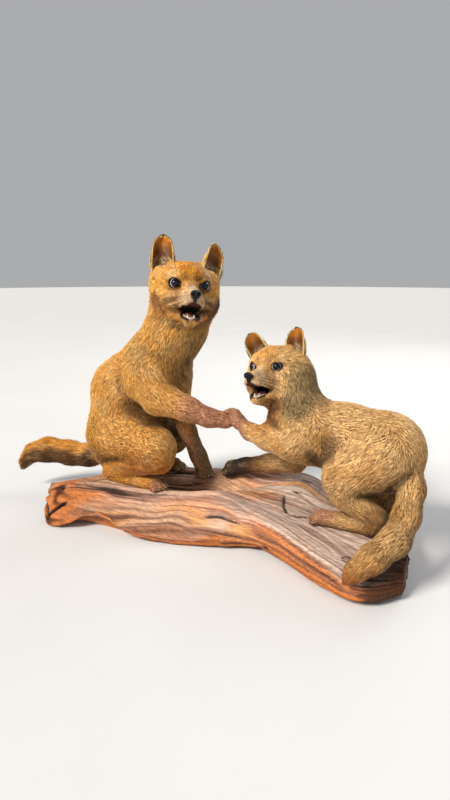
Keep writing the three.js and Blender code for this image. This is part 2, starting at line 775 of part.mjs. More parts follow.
// ---- dividing the sitting cub: each tool's inside becomes a node ----
// A box tool. Its local z axis points along the given direction from the cut at centre.
function slab(centre, direction, size, depth) {
  return (grow) => {
    const box = new THREE.BoxGeometry(size + 2 * grow, size + 2 * grow, depth + grow);
    box.translate(0, 0, (depth - grow) / 2);
    const turn = new THREE.Quaternion().setFromUnitVectors(
      new THREE.Vector3(0, 0, 1),
      new THREE.Vector3(...direction).normalize(),
    );
    box.applyQuaternion(turn);
    box.translate(...centre);
    return solidOf(box);
  };
}

// A box tool between two corners.
const block = (low, high) => (grow) => {
  const size = high.map((v, i) => v - low[i] + 2 * grow);
  const box = new THREE.BoxGeometry(...size);
  return solidOf(box.translate(...high.map((v, i) => (v + low[i]) / 2)));
};

const CUTS = [
  ["fox_head", slab([-112, 0, 305], [0.62, -0.3, 0.72], 170, 170)],
  ["fox_tail_end", slab([-340, -8, 82], [-1, -0.3, 0.05], 90, 120)],
  ["fox_tail_base", slab([-274, 3, 82], [-1, -0.1, 0], 90, 90)],
  ["fox_neck", slab([-150, 0, 246], [0.5, 0, 0.87], 150, 120)],
  ["fox_forepaw_right", slab([-40, -39, 175], [1, 0.3, -0.1], 60, 60)],
  ["fox_foreleg_right", block([-152, -90, 161], [-20, -31, 232])],
  ["fox_thigh_left", block([-232, 45, 70], [-90, 100, 160])],
  ["fox_forepaw_left", slab([-98, 37, 84], [0.35, 0, -0.94], 44, 60)],
  ["fox_foreleg_left", block([-150, 10, 72], [-78, 50, 168])],
  ["fox_hind_foot_right", block([-230, -80, 30], [-95, -26, 76])],
  ["fox_hind_foot_left", block([-230, 26, 30], [-95, 80, 76])],
  ["fox_thigh_right", block([-238, -100, 60], [-80, -32, 158])],
];

const inHead = (solid) => solid.transform(SITTING_HEAD.elements);

function divide(solid) {
  const parts = new Map();
  let rest = solid;
  for (const [name, tool] of CUTS) {
    parts.set(name, mainBody(rest.intersect(tool(0))));
    rest = mainBody(rest.subtract(tool(GAP)));
  }
  parts.set("fox_trunk", rest);
  return parts;
}

// ---- the model ----
const root = new THREE.Group();

function addNode(name, solid, colour, roughness = 0.85) {
  const material = new THREE.MeshStandardMaterial({ color: colour, roughness, metalness: 0 });
  const mesh = new THREE.Mesh(geometryOf(solid), material);
  mesh.name = name;
  root.add(mesh);
}

const SITTING_GRID = [
  gridLines(-450, 20, -150, -30),
  gridLines(-110, 110, -60, 40),
  gridLines(8, 420, 300, 410),
];
const CROUCHING_GRID = [
  gridLines(-75, 290, 0, 90),
  gridLines(-170, 90, -75, 50),
  gridLines(20, 310, 215, 300),
];

const wood = driftwood(0);
const woodRoom = driftwood(TRIM);
const sitting = surfaceOf(sittingField, SITTING_GRID, SITTING_FACES);
const sittingRoom = surfaceOf(sittingField, SITTING_GRID, SITTING_FACES, COAT_ROOM);

addNode("driftwood_base", wood, COLOURS.wood, 0.8);
const sockets = inHead(eye(1, GAP).add(eye(-1, GAP)));
for (const [name, solid] of divide(sitting))
  addNode(name, mainBody(lighter(solid).subtract(woodRoom).subtract(sockets)), COLOURS.coat);

for (const shape of SITTING_EARS) {
  const word = shape.side > 0 ? "left" : "right";
  addNode("fox_ear_" + word, mainBody(inHead(ear(shape)).subtract(sittingRoom)), COLOURS.ear);
  addNode("fox_eye_" + word, inHead(eye(shape.side)), COLOURS.glass, 0.05);
}
addNode("fox_nose", mainBody(inHead(noseLeather()).subtract(sittingRoom)), COLOURS.leather, 0.35);
addNode("fox_lower_teeth", mainBody(inHead(gumWithTeeth()).subtract(sittingRoom)), COLOURS.tooth, 0.4);
addNode("fox_tongue", mainBody(inHead(tongue()).subtract(sittingRoom)), COLOURS.tongue, 0.5);

const crouching = surfaceOf(crouchingField, CROUCHING_GRID, CROUCHING_FACES).add(crouchingEars());
addNode("second_fox", mainBody(crouching.subtract(woodRoom).subtract(sittingRoom)), COLOURS.coat);

export default root;
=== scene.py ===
"""Two mounted red fox cubs on driftwood: skins, coats, eyes, mouths, claws and the grain of the wood.

Shapes are worked out in millimetres, in the model's own frame, and meshes are made in metres.
"""

import math
from concurrent.futures import ThreadPoolExecutor

import bpy
import numpy as np
import openvdb
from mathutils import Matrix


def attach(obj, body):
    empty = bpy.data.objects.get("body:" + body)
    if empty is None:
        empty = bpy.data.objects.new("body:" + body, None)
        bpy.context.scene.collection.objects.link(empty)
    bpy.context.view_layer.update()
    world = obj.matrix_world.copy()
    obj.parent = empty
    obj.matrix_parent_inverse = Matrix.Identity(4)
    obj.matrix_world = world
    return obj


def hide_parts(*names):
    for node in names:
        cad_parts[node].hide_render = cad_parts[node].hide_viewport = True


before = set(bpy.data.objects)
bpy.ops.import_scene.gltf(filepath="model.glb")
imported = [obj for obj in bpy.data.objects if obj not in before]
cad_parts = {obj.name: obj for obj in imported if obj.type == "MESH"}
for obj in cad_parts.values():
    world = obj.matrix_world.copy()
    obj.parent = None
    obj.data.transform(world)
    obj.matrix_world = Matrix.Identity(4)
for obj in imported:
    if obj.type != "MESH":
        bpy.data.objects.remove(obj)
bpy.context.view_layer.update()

MM = 0.001
RANDOM = np.random.default_rng(11)


# ---------------- numbers and noise
def smooth(low, high, v):
    t = np.clip((v - low) / (high - low), 0, 1)
    return t * t * (3 - 2 * t)


def lerp(a, b, t):
    return a + (b - a) * t


def unit(v):
    return v / np.maximum(np.linalg.norm(v, axis=-1, keepdims=True), 1e-9)


def apart(p, q, size=1):
    """Distance of places p from q, in units of a size that may differ by axis."""
    return np.linalg.norm((p - np.array(q)) / np.array(size), axis=1)


def zone(p, **spans):
    """How far places lie within spans of x, y and z, each of smooth steps: from, to, from, to."""
    share = 1.0
    for axis, span in spans.items():
        for low, high in zip(span[::2], span[1::2]):
            share = share * smooth(low, high, p[:, "xyz".index(axis)])
    return share


def rotation(axis, angle):
    """The matrix of a turn about axis 0, 1 or 2."""
    i, j = (axis + 1) % 3, (axis + 2) % 3
    turn = np.eye(3)
    turn[i, i] = turn[j, j] = math.cos(angle)
    turn[i, j], turn[j, i] = -math.sin(angle), math.sin(angle)
    return turn


def hashed(i, j, k, seed):
    h = (i * 374761393 + j * 668265263 + k * 1440662683 + seed * 974711) & 0xFFFFFFFF
    h = ((h ^ (h >> 13)) * 1274126177) & 0xFFFFFFFF
    h = ((h ^ (h >> 15)) * 2246822519) & 0xFFFFFFFF
    return ((h >> 8) & 0xFFFF) / 32767.5 - 1


def noise(p, size, seed=0):
    """Smooth noise from -1 to 1 whose features are about size across. size may differ by axis."""
    q = np.asarray(p, float) / size
    i = np.floor(q).astype(np.int64)
    f = q - i
    u = f * f * (3 - 2 * f)
    total = 0
    for corner in range(8):
        c = [(corner >> axis) & 1 for axis in range(3)]
        w = 1
        for axis in range(3):
            w = w * (u[:, axis] if c[axis] else 1 - u[:, axis])
        total = total + w * hashed(*(i + c).T, seed)
    return total


def layered(p, size, seed=0):
    """Noise with finer noise on it."""
    size = np.asarray(size, float)
    total = sum(noise(p, size / 2**layer, seed + 31 * layer) / 2**layer for layer in range(3))
    return total / 1.75


def in_runs(function, *arrays, rows=12000):
    """The function over runs of the arrays' rows, several runs at a time, with its results put together."""
    count = max(1, len(arrays[0]) // rows)
    runs = list(zip(*(np.array_split(a, count) for a in arrays)))
    with ThreadPoolExecutor(4) as pool:
        results = list(pool.map(lambda run: function(*run), runs))
    if isinstance(results[0], tuple):
        return tuple(np.concatenate(column) for column in zip(*results))
    return np.concatenate(results)


# ---------------- colours
def colour(code):
    """A linear colour from its usual #rrggbb code."""
    v = np.array([int(code[i : i + 2], 16) for i in (1, 3, 5)]) / 255
    return np.where(v <= 0.04045, v / 12.92, ((v + 0.055) / 1.055) ** 2.4)


GOLD, TAN, SAND = map(colour, ("#cf8f36", "#c98f49", "#dcb071"))
CREAM, RUST, UMBER = map(colour, ("#e2c090", "#96531f", "#3c2618"))
GREY, SOOT, LIP_BLACK = map(colour, ("#94835a", "#1c1512", "#120b09"))
RED_BROWN, ORANGE, MOUTH = map(colour, ("#a9745a", "#c47a12", "#6a3830"))
PINK_PALE, FAWN, PAW_DARK = map(colour, ("#d9b494", "#d8ad78", "#2b2623"))
EAR_GOLD, EAR_DARK, EAR_PALE = map(colour, ("#b56c12", "#5a300d", "#ecc779"))
WOOD_ORANGE, WOOD_PINK, WOOD_GREY = map(colour, ("#bf6d30", "#d6a384", "#bcaba0"))
WOOD_PURPLE, WOOD_DARK, WOOD_TAN = map(colour, ("#7b5040", "#24130c", "#cc9560"))


class Paint:
    """The colours of places, each laid over those before it."""

    def __init__(self, tone, count=1):
        self.tone = np.tile(tone, (count, 1))

    def __call__(self, tint, share):
        self.tone = self.tone + (tint - self.tone) * np.clip(share, 0, 1)[:, None]


# ---------------- distance functions
def soft_union(a, b, blend):
    h = np.maximum(blend - np.abs(a - b), 0) / blend
    return np.minimum(a, b) - h * h * blend * 0.25


def soft_cut(a, b, blend):
    return -soft_union(-a, b, blend)


class Rod:
    """A limb segment whose radius goes from ra to rb. Its hair lies from a to b, or back if flow is -1."""

    def __init__(self, region, a, b, ra, rb, flow=1, flat=1.0):
        self.region = region
        self.squeeze = np.array([1, 1 / flat, 1])
        self.a, self.b = np.array(a, float), np.array(b, float)
        self.ra, self.rb = ra, rb
        self.axis = unit(self.b - self.a)
        self.flow = flow * self.axis
        self.longest = 1.0

    def distance(self, p):
        a = self.a * self.squeeze
        d = self.b * self.squeeze - a
        q = p * self.squeeze - a
        t = np.clip(q @ d / max(d @ d, 1e-9), 0, 1)
        return np.linalg.norm(q - t[:, None] * d, axis=1) - lerp(self.ra, self.rb, t)


class Mass:
    """An ellipsoid of half sizes r, whose hair lies along flow."""

    def __init__(self, region, c, r, flow=(-1, 0, 0)):
        self.region = region
        self.c, self.r = np.array(c, float), np.array(r, float)
        self.flow = self.axis = unit(np.array(flow, float))
        reach = 0.35 * self.r.mean()
        self.a, self.b = self.c - self.axis * reach, self.c + self.axis * reach
        self.ra = self.rb = self.r.mean()
        self.longest = self.r.max() / self.r.mean()

    def distance(self, p):
        q = (p - self.c) / self.r
        near = np.linalg.norm(q, axis=1)
        slope = np.linalg.norm(q / self.r, axis=1)
        return near * (near - 1) / np.maximum(slope, 1e-6)


def chain(region, points, last=None):
    """Rods through points [x, y, z, radius]. From the index last on they belong to a second region."""
    names = [region] * len(points) if last is None else [region[i >= last] for i in range(len(points))]
    return [Rod(name, a[:3], b[:3], a[3], b[3]) for name, a, b in zip(names, points, points[1:])]


def near_line(p, line):
    """Distance from a line of points [x, y, z, radius]."""
    return np.min([rod.distance(p) for rod in chain("", line)], axis=0)


def mirrored(points):
    return [[x, -y, *rest] for x, y, *rest in points]


def toe_places(centre, heading, spread):
    side = (-math.sin(heading), math.cos(heading))
    for k in (-1.5, -0.5, 0.5, 1.5):
        reach = -3 if abs(k) > 1 else 0
        x = centre[0] + side[0] * k * spread + math.cos(heading) * reach
        y = centre[1] + side[1] * k * spread + math.sin(heading) * reach
        yield x, y, centre[2]


def toes(centre, heading, radius, spread):
    flow = (math.cos(heading), math.sin(heading), 0)
    size = (radius * 1.25, radius, radius)
    return [Mass("paw", place, size, flow) for place in toe_places(centre, heading, spread)]


# ---------------- a head, in its own frame
# x forward, y left, z up, origin inside the skull
EYE = np.array([25.5, 20.5, 6.0])
EYE_RADIUS = 8.0
EYE_AXIS = unit(np.array([0.77, 0.63, 0.06]))
EYE_SLANT = math.radians(9)
LID = 1.6  # thickness of a lid over the eyeball
APERTURE = (8.8, 6.1)  # half width and half height of the opening between the lids
NOSE = (73, 0, -14.3)
NOSE_TIP = np.array([82, 0, -15])
GAPE_CORNER = (29.5, 27, -30.2)
GAPE_SLOPES = (math.radians(2), math.radians(31))
LIP_ARCH = 4.0  # how far the upper lip arches under the nose

SKULL = Mass("crown", (-10, 0, 11), (42, 43, 36))
THROAT = Mass("cheek", (-12, 0, -28), (30, 34, 25))
FACE_MASSES = (
    Mass("crown", (-14, 26, 6), (24, 25, 26)),  # temple
    Mass("face", (16, 0, 11), (20, 27, 20)),  # forehead
    Mass("cheek", (-4, 28, -15), (27, 24, 25)),
    Mass("cheek", (6, 20, -27), (20, 17, 15)),  # jowl
    THROAT,
)
MUZZLE = Rod("face", (18, 0, -9), (60, 0, -17), 19.5, 11, flow=-1)
LIP = Rod("face", (34, 13, -22), (58, 7.5, -23), 8.5, 7.8, flow=-1)
JAW = Rod("face", (2, 0, -43), (44, 0, -50.5), 14, 6.5, flow=-1, flat=1.35)
LOWER_LIP = Rod("face", (26, 20, -36.5), (46, 7.5, -47), 6, 4.5, flow=-1)
EYE_HOLLOW = Mass("face", (36, 23, 4), (11, 11, 10))
BROW = Rod("face", (24, 14, 17), (20, 27, 16), 5, 5)
EAR_ROOTS = (Rod("crown", (-15, 13, 30), (-14, 19, 43), 10, 5), Mass("crown", (-15, 40, 19), (17, 11, 17)))
CHEEK_FOLD = [[24, 35.6, -20.4, 0.7], [28.5, 28.5, -16.9, 1.0], [34, 21.6, -15.7, 0.6]]
RUFF_EDGE = [
    [10, 48, -12, 1.5], [18, 44, -24, 3.4], [17, 41, -36, 4.0], [20, 33, -48, 4.0],
    [24, 23, -54, 3.4], [31, 13.6, -57, 2.6],
]
FROWN = [[34, 12, 15, 0.6], [39, 4, 12, 0.6]]
MOUTH_CORNER = [[33, 20, -31, 2.0], [25, 27, -29.5, 1.0]]
MOUTH_HOLLOW = Mass("face", (22, 0, -36), (31, 13.5, 7.5))
HEAD_PARTS = [SKULL, MUZZLE, JAW, THROAT]  # what a head's coat is unwrapped on


def folded(q):
    """The same point on the left half of the head."""
    return np.stack([q[:, 0], np.abs(q[:, 1]), q[:, 2]], 1)


def mouth_air(q):
    """The wedge of air between the jaws, and back into the throat: negative inside."""
    x, z = q[:, 0] - GAPE_CORNER[0], q[:, 2] - GAPE_CORNER[2]
    up, low = GAPE_SLOPES
    arch = LIP_ARCH * smooth(4, 24, x) * np.clip(1 - (q[:, 1] / 10) ** 2, 0, 1)
    above = z * math.cos(up) - x * math.sin(up) - arch
    below = -z * math.cos(low) - x * math.sin(low)
    gape = np.maximum(np.maximum(above, below), np.abs(q[:, 1]) - GAPE_CORNER[1])
    return soft_union(gape, MOUTH_HOLLOW.distance(q), 2)


def inside_mouth(q, rim):
    """Whether a place is within the mouth, or within rim of its opening."""
    palate = (np.abs(q[:, 1]) < 14) * smooth(60, 50, q[:, 0])
    return mouth_air(q) - rim - 3.5 * palate < 0


def head_form(q):
    """The head out to the tips of its coat."""
    h = folded(q)
    d = SKULL.distance(h)
    for part in FACE_MASSES:
        d = soft_union(d, part.distance(h), 14)
    d = soft_union(d, soft_union(MUZZLE.distance(h), LIP.distance(h), 5), 12)
    d = soft_union(d, soft_union(JAW.distance(h), LOWER_LIP.distance(h), 5), 6)
    d = soft_cut(d, EYE_HOLLOW.distance(h), 7)
    d = soft_union(d, BROW.distance(h), 8)
    for root in EAR_ROOTS:
        d = soft_union(d, root.distance(h), 13)
    d = soft_cut(d, near_line(h, RUFF_EDGE), 6)
    d = soft_cut(d, near_line(h, CHEEK_FOLD), 2.5)
    return soft_cut(d, mouth_air(q), 2.5)


def eye_frame():
    """The left eye's outward, sideways and upward directions."""
    side = unit(np.cross(np.array([0, 0, 1.0]), EYE_AXIS))
    up = np.cross(EYE_AXIS, side)
    c, s = math.cos(EYE_SLANT), math.sin(EYE_SLANT)
    return EYE_AXIS, side * c + up * s, up * c - side * s


def eye_opening(h):
    """Distance outside the almond between the lids, along the eye's axis, and how far ahead of the eye."""
    out, side, up = eye_frame()
    v = h - EYE
    width, height = APERTURE
    rho = (width**2 + height**2) / (2 * height)
    almond = np.hypot(v @ side, np.abs(v @ up) + rho - height) - rho
    return almond, v @ out


def eye_corners(h):
    """How much a place belongs to the dark corners of the eye."""
    out, side, up = eye_frame()
    v = h - EYE
    mark = 0
    for sign, start, long, drop in ((-1, 6.5, 7.0, 2.4), (1, 6.5, 5.0, -1.0)):
        along = (sign * (v @ side) - start) / long
        t = np.clip(along, 0, 1)
        here = smooth(0.5, -0.5, np.abs(v @ up + drop * t) - 2.9 * (1 - t) - 0.2)
        mark = np.maximum(mark, here * (along > 0) * (along < 1) * (v @ out > -1))
    return mark


class Head:
    """Where a head is and how it is turned, in degrees, with how far out to the side its eyes look."""

    def __init__(self, centre, yaw, pitch, roll, scale, gaze):
        self.centre, self.scale = np.array(centre, float), scale
        yaw, pitch, roll, gaze = map(math.radians, (yaw, pitch, roll, gaze))
        self.gaze = unit(np.array([math.cos(gaze), math.sin(gaze), 0.05]))
        self.turn = rotation(2, yaw) @ rotation(1, -pitch) @ rotation(0, roll)

    def local(self, p):
        return (p - self.centre) @ self.turn / self.scale

    def world(self, q):
        return (q * self.scale) @ self.turn.T + self.centre


# ---------------- how each region's coat grows
# depth of the coat, length and width of a tuft, spacing of the roots
COATS = {
    "trunk": (5.8, 10.5, 1.05, 1.24),
    "neck": (5.8, 10.5, 1.0, 1.16),
    "thigh": (5.0, 9.5, 1.0, 1.22),
    "arm": (4.0, 8.5, 0.9, 1.12),
    "forearm": (2.6, 6.5, 0.8, 1.04),
    "foot": (2.2, 6, 0.8, 1.04),
    "paw": (1.7, 4.4, 0.7, 0.98),
    "tail": (8.0, 15, 1.05, 1.16),
    "crown": (3.8, 7.5, 0.85, 0.96),
    "cheek": (4.4, 9, 0.9, 0.98),
    "face": (1.9, 4.4, 0.62, 0.83),
}
SLEEKER = {"trunk": (4.8, 9, 0.95, 1.14), "thigh": (4.6, 9, 0.95, 1.14), "tail": (5.0, 11, 0.95, 1.1)}
EYE_COAT = (1.1, 3.2, 0.5, 0.75)
NOSE_COAT = (0.9, 2.8, 0.5, 0.75)
LIP_COAT = (0.5, 2.8, 0.5, 0.8)
FAR = 400.0  # a distance given to parts too far away to matter
REACH = 45.0  # beyond this from a part's surface it doesn't matter
SHARE_SOFTNESS = 5.0
EYE_REACH = 16  # beyond this from an eye's middle there are no lids
HEAD_REACH = 125  # beyond this from a head's middle it doesn't matter
SHELL = 22  # the skin lies within this of the form


def head_coat(q):
    """Depth, length, width and spacing of the coat on a head: shorter to the eyes, the nose and the lips."""
    face, crown, cheek = (np.array(COATS[name]) for name in ("face", "crown", "cheek"))
    values = lerp(face, lerp(crown, cheek, zone(q, z=(6, -22))[:, None]), zone(q, x=(34, -4))[:, None])
    for near, share in (
        (EYE_COAT, smooth(9.5, 20, apart(folded(q), EYE))),
        (NOSE_COAT, smooth(8, 26, apart(q, NOSE))),
        (LIP_COAT, smooth(0, 9, mouth_air(q))),
    ):
        values = lerp(np.array(near), values, share[:, None])
    return values


class Cub:
    """A body of parts in groups, each (parts, blend within it, blend with the rest), and a head.

    The cub lies within box. Its tufts stand sparse times as far apart as COATS says, and coats overrides COATS.
    """

    def __init__(self, name, groups, head, box, sparse, coats):
        self.name, self.groups, self.head, self.box, self.sparse = name, groups, head, box, sparse
        self.parts = [part for parts, _, _ in groups for part in parts]
        self.coats = np.array([(COATS | coats)[part.region] for part in self.parts])

    def near_head(self, p):
        return apart(p, self.head.centre) < HEAD_REACH * self.head.scale

    def distances(self, p):
        """Each part's distance, and the head's last. Parts too far from all the places to matter stay far."""
        low, high = p.min(0), p.max(0)
        d = np.full((len(p), len(self.parts) + 1), FAR)
        for n, part in enumerate(self.parts):
            reach = max(part.ra, part.rb) * part.longest + REACH
            a, b = np.minimum(part.a, part.b) - reach, np.maximum(part.a, part.b) + reach
            if (a < high).all() and (b > low).all():
                d[:, n] = part.distance(p)
        near = self.near_head(p)
        if near.any():
            d[near, -1] = head_form(self.head.local(p[near])) * self.head.scale
        return d

    def joined(self, d):
        """One distance from all the parts'."""
        whole, first = None, 0
        for parts, blend, join in self.groups:
            own = d[:, first]
            for n in range(first + 1, first + len(parts)):
                own = soft_union(own, d[:, n], blend)
            whole = own if whole is None else soft_union(whole, own, join)
            first += len(parts)
        return soft_union(whole, d[:, -1], 12)

    def form(self, p):
        """Distance to the tips of the coat."""
        return self.joined(self.distances(p))

    def shares(self, p, d=None):
        """How much each part, and the head last, has to say about a place."""
        d = self.distances(p) if d is None else d
        w = np.exp(-(d - d.min(1, keepdims=True)) / SHARE_SOFTNESS)
        return w / w.sum(1, keepdims=True)

    def coat(self, p, shares=None):
        """Depth, length, width and spacing of the coat at places."""
        shares = self.shares(p) if shares is None else shares
        values = shares[:, :-1] @ self.coats
        head = shares[:, -1] > 1e-3
        if head.any():
            values[head] += shares[head, -1:] * head_coat(self.head.local(p[head]))
        return values

    def flesh(self, p):
        """Distance to the skin under the coat, with the lids."""
        each = self.distances(p)
        d = self.joined(each)
        shell = np.abs(d) < SHELL
        if shell.any():
            d[shell] += self.coat(p[shell], self.shares(p[shell], each[shell]))[:, 0]
        near = self.near_head(p)
        if near.any():
            h = folded(self.head.local(p[near]))
            ball = apart(h, EYE) - EYE_RADIUS
            almond, ahead = eye_opening(h)
            opening = np.maximum(almond, -ahead)
            s = self.head.scale
            own = soft_union(d[near], soft_cut(ball - LID, opening, 1.0) * s, 2.5)
            own = soft_cut(own, np.maximum(opening, ball - 14) * s, 1.2)
            d[near] = np.maximum(own, -(ball - 0.05) * s)
        return d

    def flow(self, p, shares):
        """The way the hair lies, before it is laid along the skin."""
        way = shares[:, :-1] @ np.stack([part.flow for part in self.parts])
        head = shares[:, -1] > 1e-3
        if head.any():
            q = self.head.local(p[head])
            own = unit(q - NOSE_TIP)
            own[:, 2] -= 0.35 * zone(q, x=(20, -10), z=(20, -15))
            way[head] += shares[head, -1:] * (own @ self.head.turn.T)
        return way


def gradient(field, p, step=0.35):
    """The field and its gradient, from four points of a tetrahedron."""
    value, slope = 0, 0
    for corner in np.array([[1, -1, -1], [-1, -1, 1], [-1, 1, -1], [1, 1, 1]], float):
        f = field(p + corner * step)
        value = value + f / 4
        slope = slope + f[:, None] * corner / (4 * step)
    return value, slope


# ---------------- the sitting cub
# limbs as points [x, y, z, radius], and toes as their middle, heading, radius and spread
SITTING_HEAD = Head((-94.5, 0, 346.5), -46, 12, -6, 1.0, gaze=9)
HIND_LEG = [[-211, -32, 127, 42], [-122, -48, 119, 33]]
FAR_HIND_LEG = [[-209, 34, 124, 40], [-162, 50, 107, 27]]
SHANK = [[-112, -52, 101, 20], [-205, -50, 73, 14]]
HIND_FOOT = [[-207, -48, 64, 13.5], [-128, -46, 60, 11.5]]
HIND_TOES = ((-118, -45, 56.5), 0, 6, 7.2)
FAR_SHANK = [[-152, 52, 98, 19], [-215, 50, 73, 14]]
FAR_HIND_FOOT = [[-216, 48, 64, 13.5], [-150, 46, 60, 11.5]]
FAR_HIND_TOES = ((-140, 45, 56.5), 0, 6, 7.2)
RAISED_ARM = [
    [-140, -38, 216, 32], [-116, -45, 196, 26], [-65, -44, 184, 18], [-36, -38, 174, 13.5],
    [-13, -29, 171, 12.5],
]
RAISED_TOES = ((-6, -26, 169), 0.35, 5.5, 6)
STANDING_ARM = [
    [-142, 30, 212, 31], [-132, 30, 168, 20], [-115, 32, 126, 14], [-99, 37, 86, 13],
    [-90, 38, 66, 14],
]
STANDING_TOES = ((-82, 31, 58), -0.85, 6.4, 6.3)
SITTING_TAIL = [
    [-256, 4, 76, 18], [-296, 2, 65, 20], [-334, -8, 67, 22], [-370, -22, 71, 22],
    [-394, -34, 65, 17], [-407, -41, 49, 11], [-412, -44, 37, 5],
]
SITTING_TRUNK = [
    Mass("trunk", (-223, 0, 105), (48, 55, 56), flow=(-0.3, 0, -1)),
    Rod("trunk", (-219, 0, 122), (-207, 0, 188), 51, 55, flow=-1),
    Rod("trunk", (-207, 0, 188), (-155, 0, 237), 55, 48, flow=-1),
    Mass("trunk", (-190, 0, 140), (48, 44, 46), flow=(-0.1, 0, -1)),
    Mass("trunk", (-133, 0, 208), (37, 39, 46), flow=(-0.1, 0, -1)),
    Rod("neck", (-150, 0, 236), (-111, 0, 296), 47, 43, flow=-1),
    Rod("neck", (-111, 0, 296), (-102, 0, 330), 43, 39, flow=-1),
]
ARM_REGIONS = ("arm", "forearm")
SITTING = Cub(
    "sitting",
    [
        (SITTING_TRUNK, 22, 22),
        (chain("thigh", HIND_LEG), 10, 26),
        (chain("thigh", FAR_HIND_LEG), 10, 26),
        (chain("foot", SHANK) + chain("foot", HIND_FOOT), 10, 12),
        (toes(*HIND_TOES), 1.5, 4),
        (chain("foot", FAR_SHANK) + chain("foot", FAR_HIND_FOOT), 10, 12),
        (toes(*FAR_HIND_TOES), 1.5, 4),
        (chain(ARM_REGIONS, RAISED_ARM, last=2), 8, 22),
        (toes(*RAISED_TOES), 1.5, 4),
        (chain(ARM_REGIONS, STANDING_ARM, last=2), 8, 18),
        (toes(*STANDING_TOES), 1.5, 4),
        (chain("tail", SITTING_TAIL), 10, 9),
    ],
    SITTING_HEAD,
    ((-440, -115, 20), (20, 105, 405)),
    1.08,
    {},
)

# ---------------- the crouching cub
CROUCHING_HEAD = Head((43, 8, 238.5), -98, 16, 6, 0.86, gaze=30)
CROUCHED_LEG = [[200, -24, 148, 41], [168, -41, 119, 31]]
CROUCHED_FOOT = [[170, -46, 100, 20], [212, -44, 76, 14], [206, -43, 65, 13.5], [140, -42, 61, 11.5]]
CROUCHED_TOES = ((129, -41, 57), math.pi, 6, 6.8)
FAR_CROUCHED_TOES = ((129, 41, 57), math.pi, 6, 6.8)
REACHING_ARM = [
    [102, -34, 166, 33], [96, -41, 157, 24], [58, -39, 157, 16], [28, -34, 161, 11.5],
    [6, -28, 173, 9.5], [-3, -26, 181, 8],
]
REACHING_TOES = ((-6, -25, 184), 2.2, 4.5, 4.6)
LYING_ARM = [[94, 38, 150, 28], [62, 49, 98, 17], [18, 54, 88, 14], [-22, 54, 77, 12], [-45, 53, 69, 14]]
LYING_TOES = ((-56, 52, 62), math.pi + 0.25, 6.5, 6.2)
CROUCHING_TAIL = [
    [236, -6, 140, 19], [249, -32, 118, 17], [251, -60, 93, 17], [246, -92, 74, 18],
    [228, -120, 60, 17], [212, -136, 46, 12], [206, -142, 38, 6],
]
CROUCHING_TRUNK = [
    Mass("trunk", (208, 4, 146), (46, 46, 46), flow=(0.7, 0, -0.7)),
    Rod("trunk", (206, 4, 152), (112, 4, 162), 47, 44, flow=-1),
    Mass("trunk", (96, 2, 164), (42, 42, 44), flow=(0.8, 0, -0.6)),
    Mass("trunk", (78, 2, 168), (34, 32, 38), flow=(0.3, 0, -1)),
    Mass("trunk", (152, 2, 172), (38, 38, 34), flow=(1, 0, -0.2)),
    Rod("neck", (84, 2, 180), (72, 9, 231), 37, 34, flow=-1),
]
CROUCHING = Cub(
    "crouching",
    [
        (CROUCHING_TRUNK, 20, 20),
        (chain("thigh", CROUCHED_LEG), 10, 26),
        (chain("thigh", mirrored(CROUCHED_LEG)), 10, 26),
        (chain(ARM_REGIONS, REACHING_ARM, last=2), 8, 22),
        (toes(*REACHING_TOES), 1.5, 4),
        (chain(ARM_REGIONS, LYING_ARM, last=2), 8, 18),
        (toes(*LYING_TOES), 1.5, 4),
        (chain("foot", CROUCHED_FOOT), 5, 6),
        (toes(*CROUCHED_TOES), 1.5, 4),
        (chain("foot", mirrored(CROUCHED_FOOT)), 5, 6),
        (toes(*FAR_CROUCHED_TOES), 1.5, 4),
        (chain("tail", CROUCHING_TAIL), 10, 9),
    ],
    CROUCHING_HEAD,
    ((-75, -165, 20), (285, 90, 320)),
    1.18,
    SLEEKER,
)

# ---------------- markings
REGION_COLOURS = {
    "trunk": TAN, "neck": TAN, "thigh": TAN, "arm": TAN, "forearm": RED_BROWN, "foot": GOLD,
    "paw": RED_BROWN, "tail": GOLD,
}


